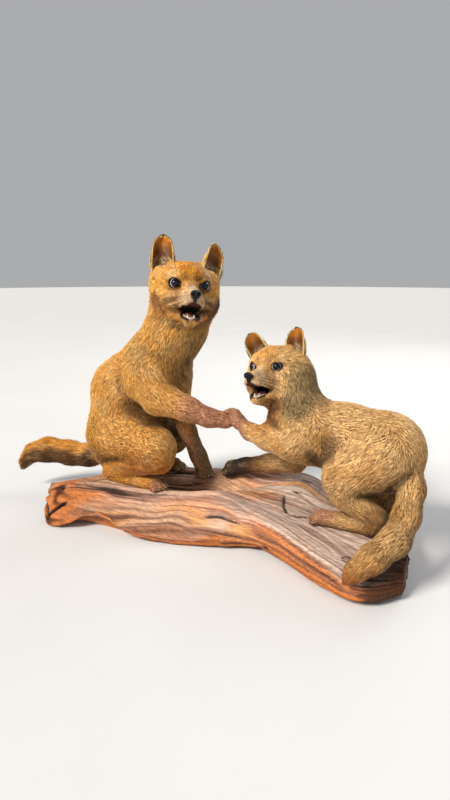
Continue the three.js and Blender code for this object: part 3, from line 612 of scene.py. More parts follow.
def head_markings(q):
    """Colours over a head: orange brow, golden cheeks, pale blaze and muzzle, black lips, and painted shade
    round the mouth's corners, in the cheek folds, along the frown and under the ruff.
    """
    h = folded(q)
    paint = Paint(TAN, len(q))
    paint(GOLD, 0.8 * zone(h, x=(-30, 0)))
    paint(SAND, 0.5 * zone(h, y=(12, 30), z=(8, -16)))
    beside = zone(h, x=(-20, 8), y=(12, 28), z=(8, 22))
    paint(FAWN, 0.5 * beside * smooth(-0.8, 0.4, noise(q, 9, 10)))
    brow = zone(h, x=(-18, 10), z=(12, 22)) * smooth(24, 8, h[:, 1] + 4 * noise(q, 8, 16))
    paint(ORANGE, 0.9 * brow * smooth(-0.8, 0.3, noise(q, 7, 7)))
    paint(CREAM, 0.4 * smooth(13, 4, apart(h, EYE + (0, 5, 12))))
    # painted shade along the crease of the frown
    paint(UMBER, 0.5 * smooth(3.8, 1.6, near_line(h, FROWN)))
    paint(PINK_PALE, 0.85 * zone(h, x=(26, 44), y=(11, 3), z=(13, -2)))
    paint(CREAM, 0.75 * zone(h, x=(32, 54), z=(4, -8)))
    paint(PINK_PALE, 0.45 * zone(h, x=(20, 34), y=(26, 14), z=(2, -8)))
    paint(GOLD, 0.8 * zone(h, x=(0, 25), z=(-34, -42)))
    corner = near_line(h, MOUTH_CORNER)
    # painted shade in the recess round the mouth's corners; the black right at the corner is the lips
    paint(RUST, 0.7 * smooth(13, 3, corner))
    paint(UMBER, 0.75 * smooth(7, 2.5, corner))
    paint(LIP_BLACK, 0.95 * smooth(1.6, 0.2, corner))
    paint(GREY, 0.4 * smooth(0.1, 0.8, noise(q, 16, 5)) * zone(h, x=(10, -20)))
    paint(RUST, 0.35 * smooth(0.1, 0.8, noise(q, (9, 5, 5), 6)))
    paint(PINK_PALE, 0.6 * smooth(9, 3, apart(h, (31, 26, -9))))
    paint(CREAM, 0.55 * smooth(7, 3, apart(h, (31, 26, -23))))
    # painted shade in the cheek fold
    paint(UMBER * 0.8, 0.95 * smooth(5.0, 2.5, near_line(h, CHEEK_FOLD)))
    # painted shadow that the cheek ruff casts on the neck, along its edge
    ruff_shadow = near_line(h, RUFF_EDGE) + 1.5 * noise(q, 6, 17)
    paint(RUST, 0.75 * smooth(11, 5, ruff_shadow))
    paint(UMBER, 0.9 * smooth(7, 3, ruff_shadow))
    paint(CREAM, 0.45 * smooth(8, 3, apart(h, (44, 8, -52), (1, 1, 0.8))))
    return paint.tone * (1 + 0.3 * noise(q, 3.5, 20))[:, None]


def skin_markings(q, base):
    """What is bare on a head: the lids' rims, the lips and the inside of the mouth, with painted shade in the
    mouth and painted highlights on the palate's ridges.
    """
    h = folded(q)
    paint = Paint(base)
    almond, ahead = eye_opening(h)
    rim = smooth(2.3, 1.2, almond) * (ahead > 0) * (apart(h, EYE) < EYE_REACH)
    paint(LIP_BLACK, np.maximum(rim, eye_corners(h)))
    air = mouth_air(q)
    # black lips and gums, and near-black painted shade over the rest of the mouth's inside
    paint(LIP_BLACK, np.maximum(smooth(2.2, 1.2, air), inside_mouth(q, 1.2)))
    # the palate's own dark red, laid on most along its ridges as painted highlights
    palate = smooth(5.2, 4.2, air) * zone(h, x=(67, 60, 28, 50), y=(11, 7))
    paint(MOUTH, palate * (0.35 + 0.65 * smooth(-0.2, 0.9, np.sin(q[:, 0] * 1.4))))
    paint(SOOT, smooth(1.15, 0.95, apart(q, NOSE, (7, 9, 8))))
    return paint.tone


def sitting_markings(p, paint):
    """A grey chest and neck, red-brown wrist and toes, a dark base and underside of the tail, and painted shade
    on the far foreleg and between haunch and hind foot.
    """
    chest = zone(p, x=(-165, -125), y=(-34, -8), z=(175, 235, 310, 285))
    paint(GREY, 0.65 * chest)
    paint(UMBER, 0.55 * chest * smooth(0.0, 0.6, noise(p, (5, 5, 9), 12)))
    paint(GREY, 0.45 * zone(p, z=(225, 265, 330, 300)) * smooth(-0.3, 0.5, noise(p, 24, 13)))
    paint(RED_BROWN, 0.8 * zone(p, x=(-95, -40), y=(-10, -26), z=(150, 165, 215, 200)))
    # grey fur on the far foreleg, darkened as painted shade
    paint(GREY * 0.5, 0.7 * zone(p, x=(-160, -140), y=(20, 28), z=(190, 165)))
    paint(RUST, 0.4 * zone(p, x=(-262, -240, -70, -90), y=(-30, -60), z=(130, 84)))
    # painted shade along the crease between haunch and hind foot
    crease_shade = near_line(p, [[-196, -72, 84, 3], [-132, -76, 82, 3]])
    paint(UMBER, 0.6 * smooth(9, 3, crease_shade))
    paint(RED_BROWN, 0.8 * zone(p, x=(-132, -120, -98, -108), z=(72, 64)))
    paint(RUST, 0.6 * zone(p, x=(-190, -150), y=(-45, -70), z=(140, 96, 76, 86)))
    paint(UMBER, 0.45 * zone(p, x=(-190, -225), y=(-30, -60), z=(135, 90, 74, 84)))
    tail = zone(p, x=(-262, -280), z=(130, 110))
    middle = np.interp(-p[:, 0], (256, 296, 334, 370, 394, 415), (78, 68, 70, 74, 64, 38))
    low = smooth(13, 1, p[:, 2] - middle + 4 * noise(p, 8, 15))
    paint(UMBER, 0.9 * tail * low)
    paint(UMBER, 0.7 * zone(p, x=(-236, -262, -300, -276), z=(125, 105)))
    paint(RUST, 0.35 * tail * (1 - low))


def crouching_markings(p, paint):
    """A paler back, a grey nape, dark paws and a rusty tail tip, with painted shade under the head, under the
    hind feet and towards the bottom.
    """
    paint(FAWN, 0.75 * zone(p, x=(-10, 30)))
    paint(TAN * 0.85, 0.75 * smooth(-0.2, 0.6, layered(p, 34, 19)) * zone(p, z=(215, 190)))
    # painted shade: darker towards the bottom, where less light falls
    paint.tone *= lerp(0.7, 1.0, zone(p, z=(90, 190)))[:, None]
    # grey nape, darkened as painted shade under the head
    paint(GREY * 0.62, 0.85 * zone(p, x=(64, 86, 124, 104), z=(180, 200, 268, 250)))
    # dark rust under the head: painted shade under the jaw
    paint(RUST * 0.62, 0.8 * zone(p, x=(22, 36, 88, 62), y=(16, 0), z=(168, 184, 222, 204)))
    paint(RED_BROWN * 0.8, 0.9 * zone(p, x=(40, 14), y=(-10, -22), z=(140, 150)))
    under_tail = smooth(8, -6, p[:, 2] - np.interp(-p[:, 1], (60, 92, 120, 142), (93, 74, 60, 38)))
    paint(UMBER, 0.5 * under_tail * zone(p, x=(190, 205), y=(-20, -60)))
    paint(PAW_DARK, 0.95 * zone(p, x=(20, -30), y=(28, 40), z=(110, 95)))
    foot = zone(p, x=(225, 205), z=(88, 74)) * (p[:, 0] > 100) * smooth(70, 60, np.abs(p[:, 1]))
    paint(RED_BROWN * 0.8, 0.8 * foot * zone(p, x=(172, 148)))
    # painted shade under the hind foot
    paint(UMBER, 0.5 * foot * zone(p, z=(64, 52)))
    paint(UMBER, 0.6 * zone(p, x=(205, 225), y=(-60, -40), z=(120, 95)))
    paint(RUST, 0.75 * zone(p, y=(-100, -130), z=(70, 40)))


def fold_shade(cub, p):
    """How far a place lies in a fold of the body, from 0 on its swells to 1: how much painted shade the fold
    gets.
    """
    reach = 15.0
    around = sum(cub.form(p + reach * way) for way in np.concatenate([np.eye(3), -np.eye(3)])) / 6
    return smooth(0.03, -0.11, (around - cub.form(p)) / reach)


def markings(cub, p):
    """The coat's colour, the same on the skin and on the tufts, with painted shade in the folds and painted
    light on the crouching cub's face.
    """
    shares = cub.shares(p)
    on_head = shares[:, -1]
    base = shares[:, :-1] @ np.array([REGION_COLOURS[part.region] for part in cub.parts])
    paint = Paint(base / np.maximum(shares[:, :-1].sum(1, keepdims=True), 1e-6))
    paint(GOLD, 0.6 * smooth(-0.1, 0.7, layered(p, 38, 3)))
    paint(SAND, 0.5 * smooth(0.0, 0.7, layered(p, 26, 4)))
    (sitting_markings if cub is SITTING else crouching_markings)(p, paint)
    head = on_head > 1e-3
    if head.any():
        own = head_markings(cub.head.local(p[head]))
        if cub is CROUCHING:
            # painted light: the crouching cub's face painted brighter and paler, for the light falling on it
            own = lerp(own * 1.25, FAWN, 0.4)
        paint.tone[head] += shares[head, -1:] * (own - paint.tone[head])
    paint(RUST, 0.30 * smooth(0.15, 0.8, layered(p, 14, 8)))
    paint(FAWN, 0.35 * smooth(0.1, 0.7, layered(p, 9, 18)) * (1 - on_head))
    # painted shade: darker umber in the body's folds, where shade falls
    paint(UMBER * 0.7, 0.75 * fold_shade(cub, p) * (1 - 0.75 * on_head))
    return paint.tone * (1 + 0.3 * layered(p, 5, 9))[:, None]


# ---------------- meshes
def new_mesh(name, points, faces, tones=None, uv=None):
    """A mesh in metres from points in millimetres, each with a colour and a place on the map.

    faces is an array of triangles or quads, or a list of such.
    """
    faces = [f.astype(np.int32) for f in (faces if isinstance(faces, list) else [faces])]
    loops = np.concatenate([f.ravel() for f in faces])
    sizes = np.concatenate([np.full(len(f), f.shape[1], np.int32) for f in faces])
    mesh = bpy.data.meshes.new(name)
    mesh.vertices.add(len(points))
    mesh.vertices.foreach_set("co", (points * MM).astype(np.float32).ravel())
    mesh.loops.add(len(loops))
    mesh.loops.foreach_set("vertex_index", loops)
    mesh.polygons.add(len(sizes))
    mesh.polygons.foreach_set("loop_start", (np.cumsum(sizes) - sizes).astype(np.int32))
    mesh.update(calc_edges=True)
    mesh.shade_smooth()
    if tones is not None:
        rgba = np.ones((len(points), 4), np.float32)
        rgba[:, :3] = np.clip(tones, 0, 1)
        mesh.color_attributes.new("Coat", "FLOAT_COLOR", "POINT").data.foreach_set("color", rgba.ravel())
    if uv is not None:
        places = uv[loops].astype(np.float32).ravel()
        mesh.uv_layers.new(name="OFBake").data.foreach_set("uv", places)
    return mesh


def shown(name, data):
    """A new object in the scene."""
    made = bpy.data.objects.new(name, data)
    bpy.context.scene.collection.objects.link(made)
    return made


def piece(name, mesh, material, slot, *nodes):
    """A shown piece of the model, which stands for the nodes if any are named."""
    made = shown(name, mesh)
    mesh.materials.append(material)
    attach(made, "root")
    if nodes:
        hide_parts(*nodes)


def head_piece(cub, what, points, faces, material, slot, *nodes):
    """A piece made in the head's own frame."""
    name = f"{cub.name}_{what}"
    piece(name, new_mesh(name, cub.head.world(points), faces), material, slot, *nodes)


def ring_quads(rows, wide):
    """Quads between rings of wide points, row after row."""
    i = np.arange((rows - 1) * wide)
    right = i // wide * wide + (i + 1) % wide
    return np.stack([i, i + wide, right + wide, right], 1)


def end_fans(rows, wide):
    """Triangles that close the first and the last ring round two points that come after the rings."""
    i = np.arange(wide)
    after, last, hub = (i + 1) % wide, (rows - 1) * wide, np.full(wide, rows * wide)
    return np.concatenate([np.stack([hub, i, after], 1), np.stack([hub + 1, after + last, i + last], 1)])


def grid_lines(low, high, fine_low, fine_high, fine, coarse):
    lines = [low]
    while lines[-1] < high:
        at = lines[-1]
        near = float(smooth(fine_low - 10, fine_low, at) * (1 - smooth(fine_high, fine_high + 10, at)))
        lines.append(at + lerp(coarse, fine, near))
    return np.array(lines)


def grid_points(lines):
    return np.stack(np.meshgrid(*lines, indexing="ij"), -1).reshape(-1, 3)


NARROW = 4.0  # distances are kept up to this on either side of a surface


def surface(field, lines, block=6):
    """The zero surface of a field on a grid of lines, as points and quads. Only blocks near it are filled."""
    counts = [-(-len(line) // block) for line in lines]
    lines = [
        np.concatenate([line, line[-1] + np.arange(1, count * block - len(line) + 1)])
        for line, count in zip(lines, counts)
    ]
    blocks = [line.reshape(-1, block) for line in lines]
    at = field(grid_points([b.mean(1) for b in blocks]))
    spans = grid_points([b[:, -1] - b[:, 0] for b in blocks])
    close = np.nonzero(np.abs(at) < 0.75 * np.linalg.norm(spans, axis=1) + NARROW)[0]
    i, j, k = np.unravel_index(close, counts)

    def filled(x, y, z):
        p = np.stack(np.broadcast_arrays(x[:, :, None, None], y[:, None, :, None], z[:, None, None, :]), -1)
        return field(p.reshape(-1, 3)).reshape(p.shape[:-1])

    shape = [n for count in counts for n in (count, block)]
    value = np.broadcast_to(at.reshape(counts)[:, None, :, None, :, None], shape).astype(np.float32)
    value[i, :, j, :, k, :] = in_runs(filled, blocks[0][i], blocks[1][j], blocks[2][k], rows=60)
    grid = openvdb.FloatGrid(background=NARROW)
    grid.copyFromArray(np.clip(value, -NARROW, NARROW).reshape([len(line) for line in lines]))
    points, _, quads = grid.convertToPolygons(isovalue=0.0, adaptivity=0.0)
    points = np.stack([np.interp(points[:, n], np.arange(len(lines[n])), lines[n]) for n in range(3)], 1)
    return points, quads


def settled(field, p, most=0.8):
    """Points moved onto the zero surface, with their normals."""
    for _ in range(2):
        value, slope = gradient(field, p)
        step = value / np.maximum((slope**2).sum(1), 0.2)
        p = p - np.clip(step, -most, most)[:, None] * slope
    return p, unit(slope)


# ---------------- materials
class Shader:
    """A material's node tree, written one node at a time."""

    def __init__(self, name, **constants):
        self.material = bpy.data.materials.new(name)
        self.material.use_nodes = True
        self.tree = self.material.node_tree
        self.bsdf = self.tree.nodes["Principled BSDF"]
        for socket, value in constants.items():
            self.bsdf.inputs[socket.replace("_", " ")].default_value = value

    def node(self, kind, inputs=None, **settings):
        made = self.tree.nodes.new(kind)
        for key, value in settings.items():
            setattr(made, key, value)
        for key, value in (inputs or {}).items():
            if isinstance(value, bpy.types.NodeSocket):
                self.tree.links.new(value, made.inputs[key])
            else:
                made.inputs[key].default_value = value
        return made

    def noise(self, size, detail=4, stretch=(1, 1, 1), rough=0.6):
        """Noise whose features are about size metres across."""
        place = self.node("ShaderNodeTexCoord").outputs["Object"]
        scale = tuple(s / size for s in stretch)
        place = self.node("ShaderNodeMapping", {"Vector": place, "Scale": scale}).outputs["Vector"]
        inputs = {"Vector": place, "Scale": 1.0, "Detail": detail, "Roughness": rough}
        return self.node("ShaderNodeTexNoise", inputs).outputs["Fac"]

    def ramp(self, value, *stops):
        made = self.node("ShaderNodeValToRGB", {"Fac": value})
        elements = made.color_ramp.elements
        while len(elements) < len(stops):
            elements.new(0.5)
        for element, (place, shade) in zip(elements, stops):
            element.position = place
            element.color = (*np.broadcast_to(shade, 3), 1)
        return made.outputs["Color"]

    def mix(self, a, b, share=1.0, how="MULTIPLY"):
        inputs = {0: share, 6: a, 7: b}
        return self.node("ShaderNodeMix", inputs, data_type="RGBA", blend_type=how).outputs[2]

    def attribute(self, name, output="Color"):
        return self.node("ShaderNodeAttribute", attribute_name=name).outputs[output]

    def paint(self, shade):
        self.tree.links.new(shade, self.bsdf.inputs["Base Color"])

    def bump(self, height, strength, distance):
        inputs = {"Height": height, "Strength": strength, "Distance": distance}
        self.tree.links.new(self.node("ShaderNodeBump", inputs).outputs["Normal"], self.bsdf.inputs["Normal"])


def grained(name, grain, low, high, bump=None, tints=None, relief=None, **constants):
    """A material with a grain of noise between two shades, which may tint the colours of an attribute.

    grain and relief are what Shader.noise takes, and bump is a strength and a distance.
    """
    s = Shader(name, **constants)
    speck = s.noise(*grain)
    tone = s.ramp(speck, low, high)
    s.paint(s.mix(s.attribute(tints), tone) if tints else tone)
    if bump:
        s.bump(s.noise(*relief) if relief else speck, *bump)
    return s.material


def leather_material():
    s = Shader("NoseLeather", Roughness=0.24, Specular_IOR_Level=0.3)
    cells = s.node("ShaderNodeTexVoronoi", {"Scale": 900.0}).outputs["Distance"]
    s.paint(s.ramp(s.noise(0.004), (0.3, colour("#030406")), (0.7, colour("#0a0c10"))))
    s.bump(cells, 0.5, 0.0005)
    return s.material


def eye_material():
    s = Shader("Eye", Roughness=0.04, Specular_IOR_Level=0.33)
    ring = s.attribute("Ring", "Fac")
    streaks = s.mix((1, 1, 1, 1), s.ramp(s.noise(0.0012, 5), (0.3, 0.6), (0.7, 1.3)), 0.7, "MIX")
    places = (0.0, 0.48, 0.54, 0.60, 0.68, 0.80)
    codes = ("#02061c", "#020516", "#1d1712", "#6a5a4e", "#c0b2aa", "#171210")
    s.paint(s.mix(s.ramp(ring, *zip(places, map(colour, codes))), streaks))
    return s.material


LEATHER, GLASS = leather_material(), eye_material()
FUR = grained(
    "Fur", [0.0035], (0.3, 0.82), (0.7, 1.12), None, "Coat",
    Roughness=0.6, Specular_IOR_Level=0.18, Sheen_Weight=0.06, Sheen_Roughness=0.5,
)
SKIN = grained(
    "Skin", [0.0012, 5], (0.25, 0.72), (0.75, 1.15), (0.5, 0.0008), "Coat",
    Roughness=0.7, Specular_IOR_Level=0.3,
)
EAR_SKIN = grained(
    "EarSkin", [0.0015, 5], (0.3, 0.7), (0.7, 1.2), (0.5, 0.0006), "Coat",
    Roughness=0.55, Specular_IOR_Level=0.35,
)
WOOD = grained(
    "Driftwood", [0.0042, 7, (0.16, 2.2, 2.2), 0.7], (0.36, 0.58), (0.62, 1.32), (0.8, 0.0012), "Coat",
    [0.0022, 5, (0.15, 1.5, 1.5)], Roughness=0.72, Specular_IOR_Level=0.25,
)
CLAW, HAIR, GUM, TOOTH, TONGUE = (
    grained(name, [size], (0.3, colour(low)), (0.7, colour(high)), (0.4, bump), Roughness=roughness)
    for name, low, high, size, roughness, bump in (
        ("Claw", "#4a392b", "#a08c70", 0.002, 0.35, 0.0003),
        ("Whisker", "#15100d", "#3a2c22", 0.002, 0.4, 0.0003),
        ("Gum", "#5b3430", "#a8766a", 0.003, 0.45, 0.0003),
        ("Tooth", "#b3a58c", "#dcd2bf", 0.003, 0.3, 0.0003),
        ("Tongue", "#5e2a26", "#94544a", 0.002, 0.55, 0.0006),
    )
)
FLOOR = grained("Floor", [0.3], (0.3, 0.66), (0.7, 0.69), Roughness=0.85)


# ---------------- tufts
TUFT_TONES = np.array([0.52, 0.88, 0.88, 0.88, 1.28])  # of the root, the ring and the tip
TUFT_FACES = np.array([[0, 2, 1], [0, 3, 2], [0, 1, 3], [1, 2, 4], [2, 3, 4], [3, 1, 4]])
TUFT_LEAN = np.array([[0, 1], [-0.6, 0.8], [0.6, 0.8], [0, 1], [0, 1]])  # of the normals, across and up
TUFT_PATCH = np.array([[0, -0.5], [-0.5, 0], [0.5, 0], [0, 0.1], [0, 0.5]])
BAKE_PATCH = 0.003  # a tuft's width on its coat's unwrap
ROOT_DEPTH = 0.6  # how far a tuft's root is sunk in the skin
MOST_TUFTS = 32500  # in one coat piece, at six triangles a tuft


def tuft_piece(name, roots, middles, tips, across, up, width, shades, uv):
    """One mesh of closed tufts: each swells from its root to a three-sided ring and narrows to its tip."""
    w = width[:, None]
    ring = [middles - across * w * 0.5, middles + across * w * 0.5, middles + up * w * 0.42]
    points = np.stack([roots, *ring, tips], 1).reshape(-1, 3)
    first = (np.arange(len(roots)) * 5)[:, None]
    faces = np.concatenate([first + side for side in TUFT_FACES])
    tones = (shades[:, None] * TUFT_TONES[:, None]).reshape(-1, 3)
    places = (uv[:, None] + TUFT_PATCH * BAKE_PATCH).reshape(-1, 2)
    mesh = new_mesh(name, points, faces, tones, places)
    normals = across[:, None] * TUFT_LEAN[:, :1] + up[:, None] * TUFT_LEAN[:, 1:]
    mesh.normals_split_custom_set_from_vertices(unit(normals.reshape(-1, 3)))
    piece(name, mesh, FUR, "coat")


class Atlas:
    """An unwrap of a body: each part's own cylinder, laid out flat, on shelves in the unit square."""

    def __init__(self, parts):
        self.parts = parts
        radii = np.array([max(part.ra, part.rb) for part in parts])
        lengths = np.array([np.linalg.norm(part.b - part.a) for part in parts])
        sizes = np.stack([lengths + 2 * radii, 2 * math.pi * radii], 1)
        self.side = math.sqrt(sizes.prod(1).sum()) * 1.02
        while not self.packed(sizes):
            self.side *= 1.03

    def packed(self, sizes):
        self.corner = np.zeros((len(sizes), 2))
        x = y = shelf = 0.0
        for n in np.argsort(-sizes[:, 1]):
            w, h = sizes[n]
            if x + w > self.side:
                x, y, shelf = 0.0, y + shelf, 0.0
            self.corner[n] = (x, y)
            x, shelf = x + w, max(shelf, h)
        return y + shelf <= self.side and sizes[:, 0].max() <= self.side

    def place(self, p):
        nearest = np.stack([part.distance(p) for part in self.parts], 1).argmin(1)
        uv = np.zeros((len(p), 2))
        for n, part in enumerate(self.parts):
            own = nearest == n
            r = max(part.ra, part.rb)
            q = p[own] - part.a
            side = unit(np.cross(part.axis, [0.12, 0.23, 1.0]))
            top = np.cross(side, part.axis)
            along = np.clip(q @ part.axis, -r, np.linalg.norm(part.b - part.a) + r) + r
            angle = np.arctan2(q @ side, q @ top)
            uv[own] = self.corner[n] + np.stack([along, (angle + math.pi) * r], 1)
        return 0.004 + 0.992 * uv / self.side


def scattered(points, quads, spacing_at):
    """Roots spread evenly over quads, at the spacing that spacing_at gives. No roots where it is 0."""
    triangles = np.concatenate([quads[:, [0, 1, 2]], quads[:, [0, 2, 3]]])
    a, b, c = (points[triangles[:, n]] for n in range(3))
    middle = (a + b + c) / 3
    area = np.linalg.norm(np.cross(b - a, c - a), axis=1) / 2
    order = np.lexsort((middle[:, 0], (middle[:, 1] // 6), (middle[:, 2] // 6)))
    a, b, c, middle, area = (v[order] for v in (a, b, c, middle, area))
    spacing = spacing_at(middle)
    total = np.cumsum(np.where(spacing > 0, area / np.maximum(spacing, 0.2) ** 2, 0))
    face = np.searchsorted(total, np.arange(0.5, total[-1], 1.0))
    u, v = RANDOM.random(len(face)), RANDOM.random(len(face))
    flip = u + v > 1
    u[flip], v[flip] = 1 - u[flip], 1 - v[flip]
    return a[face] + (b[face] - a[face]) * u[:, None] + (c[face] - a[face]) * v[:, None]


def bare(cub, p):
    """Where no hair grows: the eyes' openings, the mouth and the nose leather."""
    out = np.zeros(len(p), bool)
    near = cub.near_head(p)
    if near.any():
        q = cub.head.local(p[near])
        h = folded(q)
        almond, ahead = eye_opening(h)
        eye = (almond < 1.0) & (ahead > 0) & (apart(h, EYE) < EYE_REACH)
        eye |= eye_corners(h) > 0.4
        out[near] = eye | inside_mouth(q, 1.2) | (apart(q, NOSE, (6.5, 8.4, 7.2)) < 1)
    return out


def piece_of(region):
    """The coat piece that a region's tufts go into."""
    groups = {"hind_legs": ("thigh", "foot"), "forelegs": ("arm", "forearm", "paw")}
    return next((name for name, regions in groups.items() if region in regions), region)


def grow_coat(cub, points, quads):
    def spacing_at(p):
        return np.where(bare(cub, p), 0, cub.coat(p)[:, 3] * cub.sparse)

    p = scattered(points, quads, lambda p: in_runs(spacing_at, p))
    p, normal = in_runs(lambda p: settled(cub.flesh, p), p)
    shares = in_runs(cub.shares, p)
    depth, length, width, _ = in_runs(cub.coat, p, shares).T
    n = len(p)
    way = in_runs(cub.flow, p, shares)
    way = unit(way - (way * normal).sum(1, keepdims=True) * normal)
    side = np.cross(normal, way)
    turn = 0.35 * noise(p, 17, 21) + 0.22 * noise(p, 6, 22) + RANDOM.normal(0, 0.16, n)
    way = way * np.cos(turn)[:, None] + side * np.sin(turn)[:, None]
    length = length * np.exp(RANDOM.normal(0, 0.16, n))
    rise = depth * (0.8 + 0.12 * noise(p, 9, 23) + RANDOM.normal(0, 0.12, n))
    rise = np.clip(rise, 0.3 * depth, 1.12 * depth)

    def lifted(along, high):
        """Places along the tufts, moved to their height over the skin, which lies depth under the form."""
        at = p + way * (length * along)[:, None] + normal * (rise * high)[:, None]
        value, slope = in_runs(lambda p: gradient(cub.form, p), at)
        error = np.clip(rise * high - depth - value, -6, 6)
        return at + unit(slope) * error[:, None], unit(slope)

    middles, up = lifted(0.4, 0.66)
    tips, _ = lifted(1.0, 1.0)
    roots = p - normal * ROOT_DEPTH
    across = unit(np.cross(up, tips - middles))
    width = width * np.exp(RANDOM.normal(0, 0.15, n))
    shades = in_runs(lambda p: markings(cub, p), middles) * np.exp(RANDOM.normal(-0.03, 0.32, n))[:, None]
    names = [piece_of(part.region) for part in cub.parts] + ["head"]
    group = np.array(names)[shares.argmax(1)]
    for name in sorted(set(group)):
        own = np.nonzero(group == name)[0]
        if name == "head":
            uv = Atlas(HEAD_PARTS).place(cub.head.local(p[own]))
        else:
            uv = Atlas([part for part, its in zip(cub.parts, names) if its == name]).place(p[own])
        order = np.argsort(p[own, 0] + 0.3 * p[own, 2])
        count = -(-len(own) // MOST_TUFTS)
        for number, chunk in enumerate(np.array_split(order, count)):
            label = f"{cub.name}_coat_{name}" + (f"_{number + 1}" if count > 1 else "")
            columns = (v[own[chunk]] for v in (roots, middles, tips, across, up, width, shades))
            tuft_piece(label, *columns, uv[chunk])


# ---------------- skins
FLESH = ["fox_head", "fox_neck", "fox_trunk", "fox_tail_base", "fox_tail_end"]
for limb in ("thigh", "foreleg", "forepaw", "hind_foot"):
    FLESH += [f"fox_{limb}_left", f"fox_{limb}_right"]
SKIN_TONE = 0.62  # the skin between the tufts is this much darker than they are


def make_skin(cub, nodes, fine, coarse):
    """A cub's skin, on a grid that is finest round the face, unwrapped in the same manner as its coats."""
    head, s = cub.head.centre, cub.head.scale
    spans = ((-60, 75), (-75, 55), (-62, 52))
    lines = [
        grid_lines(low, high, c + a * s, c + b * s, fine, coarse)
        for low, high, c, (a, b) in zip(*cub.box, head, spans)
    ]
    points, quads = surface(cub.flesh, lines)
    points, _ = in_runs(lambda p: settled(cub.flesh, p), points)
    tone = in_runs(lambda p: markings(cub, p), points) * SKIN_TONE
    near = cub.near_head(points)
    tone[near] = skin_markings(cub.head.local(points[near]), tone[near])
    atlas = Atlas(cub.parts + [Mass("crown", head, (45, 45, 45))])
    name = cub.name + "_skin"
    piece(name, new_mesh(name, points, quads, tone, atlas.place(points)), SKIN, "coat", *nodes)
    return points, quads


grow_coat(SITTING, *make_skin(SITTING, FLESH, 1.15, 3.2))
grow_coat(CROUCHING, *make_skin(CROUCHING, ["second_fox"], 1.3, 3.4))


# ---------------- eyes and noses
EYE_ROWS, EYE_COLUMNS = 38, 56
EYE_FILL = 0.985  # of the space between the lids
CORNEA_RISE, CORNEA_SPREAD = 0.05, 0.55  # of the eye's radius, and in radians from its axis
RING_SPAN = 1.5  # radians from the pupil's middle to where Ring is 1


def make_eyes(cub, nodes):
    """Glass eyes, each with its angle from the way it looks as the attribute Ring."""
    out, side, up = eye_frame()
    polar = np.linspace(0, math.pi, EYE_ROWS + 2)[1:-1, None, None]
    turn = np.linspace(0, 2 * math.pi, EYE_COLUMNS, endpoint=False)[None, :, None]
    vector = np.cos(polar) * out + np.sin(polar) * np.cos(turn) * side + np.sin(polar) * np.sin(turn) * up
    vector = np.concatenate([vector.reshape(-1, 3), [out, -out]])
    away = np.arccos(np.clip(vector @ cub.head.gaze, -1, 1))
    bulge = 1 + CORNEA_RISE * np.exp(-((away / CORNEA_SPREAD) ** 2))
    q = EYE + vector * bulge[:, None] * EYE_RADIUS * EYE_FILL
    faces = [ring_quads(EYE_ROWS, EYE_COLUMNS), end_fans(EYE_ROWS, EYE_COLUMNS)]
    for n, (sign, word) in enumerate(((1, "left"), (-1, "right"))):
        name = f"{cub.name}_eye_{word}"
        mesh = new_mesh(name, cub.head.world(q * (1, sign, 1)), [f[:, ::sign] for f in faces])
        ring = mesh.attributes.new("Ring", "FLOAT", "POINT")
        ring.data.foreach_set("value", (away / RING_SPAN).astype(np.float32))
        piece(name, mesh, GLASS, "eye", *nodes[n : n + 1])


def nose_field(q):
    """The nose leather, with its nostrils and the groove under it."""
    h = folded(q)
    d = Mass("", NOSE, (5.5, 7.6, 5.4)).distance(h)
    d = soft_union(d, Mass("", (70, 0, -20), (4, 3, 6)).distance(h), 2)
    d = soft_cut(d, Mass("", (78.6, 3.7, -15.0), (4.2, 2.3, 2.3)).distance(h), 0.8)
    d = soft_cut(d, Rod("", (78, 5.0, -15.6), (73, 7.6, -15.0), 1.0, 0.6).distance(h), 0.8)
    return soft_cut(d, Rod("", (79.4, 0, -14.5), (75, 0, -26), 0.5, 0.5).distance(h), 0.8)


def make_nose(cub, *nodes):
    lines = [np.arange(64, 82, 0.5), np.arange(-10, 10, 0.5), np.arange(-30, -6, 0.5)]
    head_piece(cub, "nose", *surface(nose_field, lines), LEATHER, "nose_skin", *nodes)


make_eyes(SITTING, ["fox_eye_left", "fox_eye_right"])
make_eyes(CROUCHING, [])
make_nose(SITTING, "fox_nose")
make_nose(CROUCHING)

# ---------------- ears
EAR_ROWS, EAR_COLUMNS = 46, 34
EAR_HALF_WIDTH, EAR_THICKNESS = 15.2, 2.7
# side, length, tilt outward, turn outward, distance of the root from the middle
SITTING_EARS = ((1, 66, 0.48, 0.40, 31), (-1, 61, 0.06, 0.22, 33))
CROUCHING_EARS = ((1, 54, -0.24, 0.1, 35), (-1, 56, 0.7, -0.25, 28))
# number of tufts, wall, lowest and highest t, length, rise, width, and where across the ear they grow
EAR_TUFTS = (
    (2800, 0, 0.0, 1.0, 4.6, 0.8, 0.8, "all"),
    (520, 0, 0.0, 0.3, 12.0, 2.6, 1.0, "all"),
    (320, 1, 0.02, 0.98, 2.6, 0.3, 0.45, "rim"),
    (190, 1, 0.0, 0.34, 15.0, 2.6, 0.4, "sides"),
    (700, 1, 0.1, 0.95, 3.2, 0.6, 0.6, "all"),
)
EAR_BANDS = {"all": 0.5, "rim": 0.03, "sides": 0.4}  # how far in from an edge the tufts grow


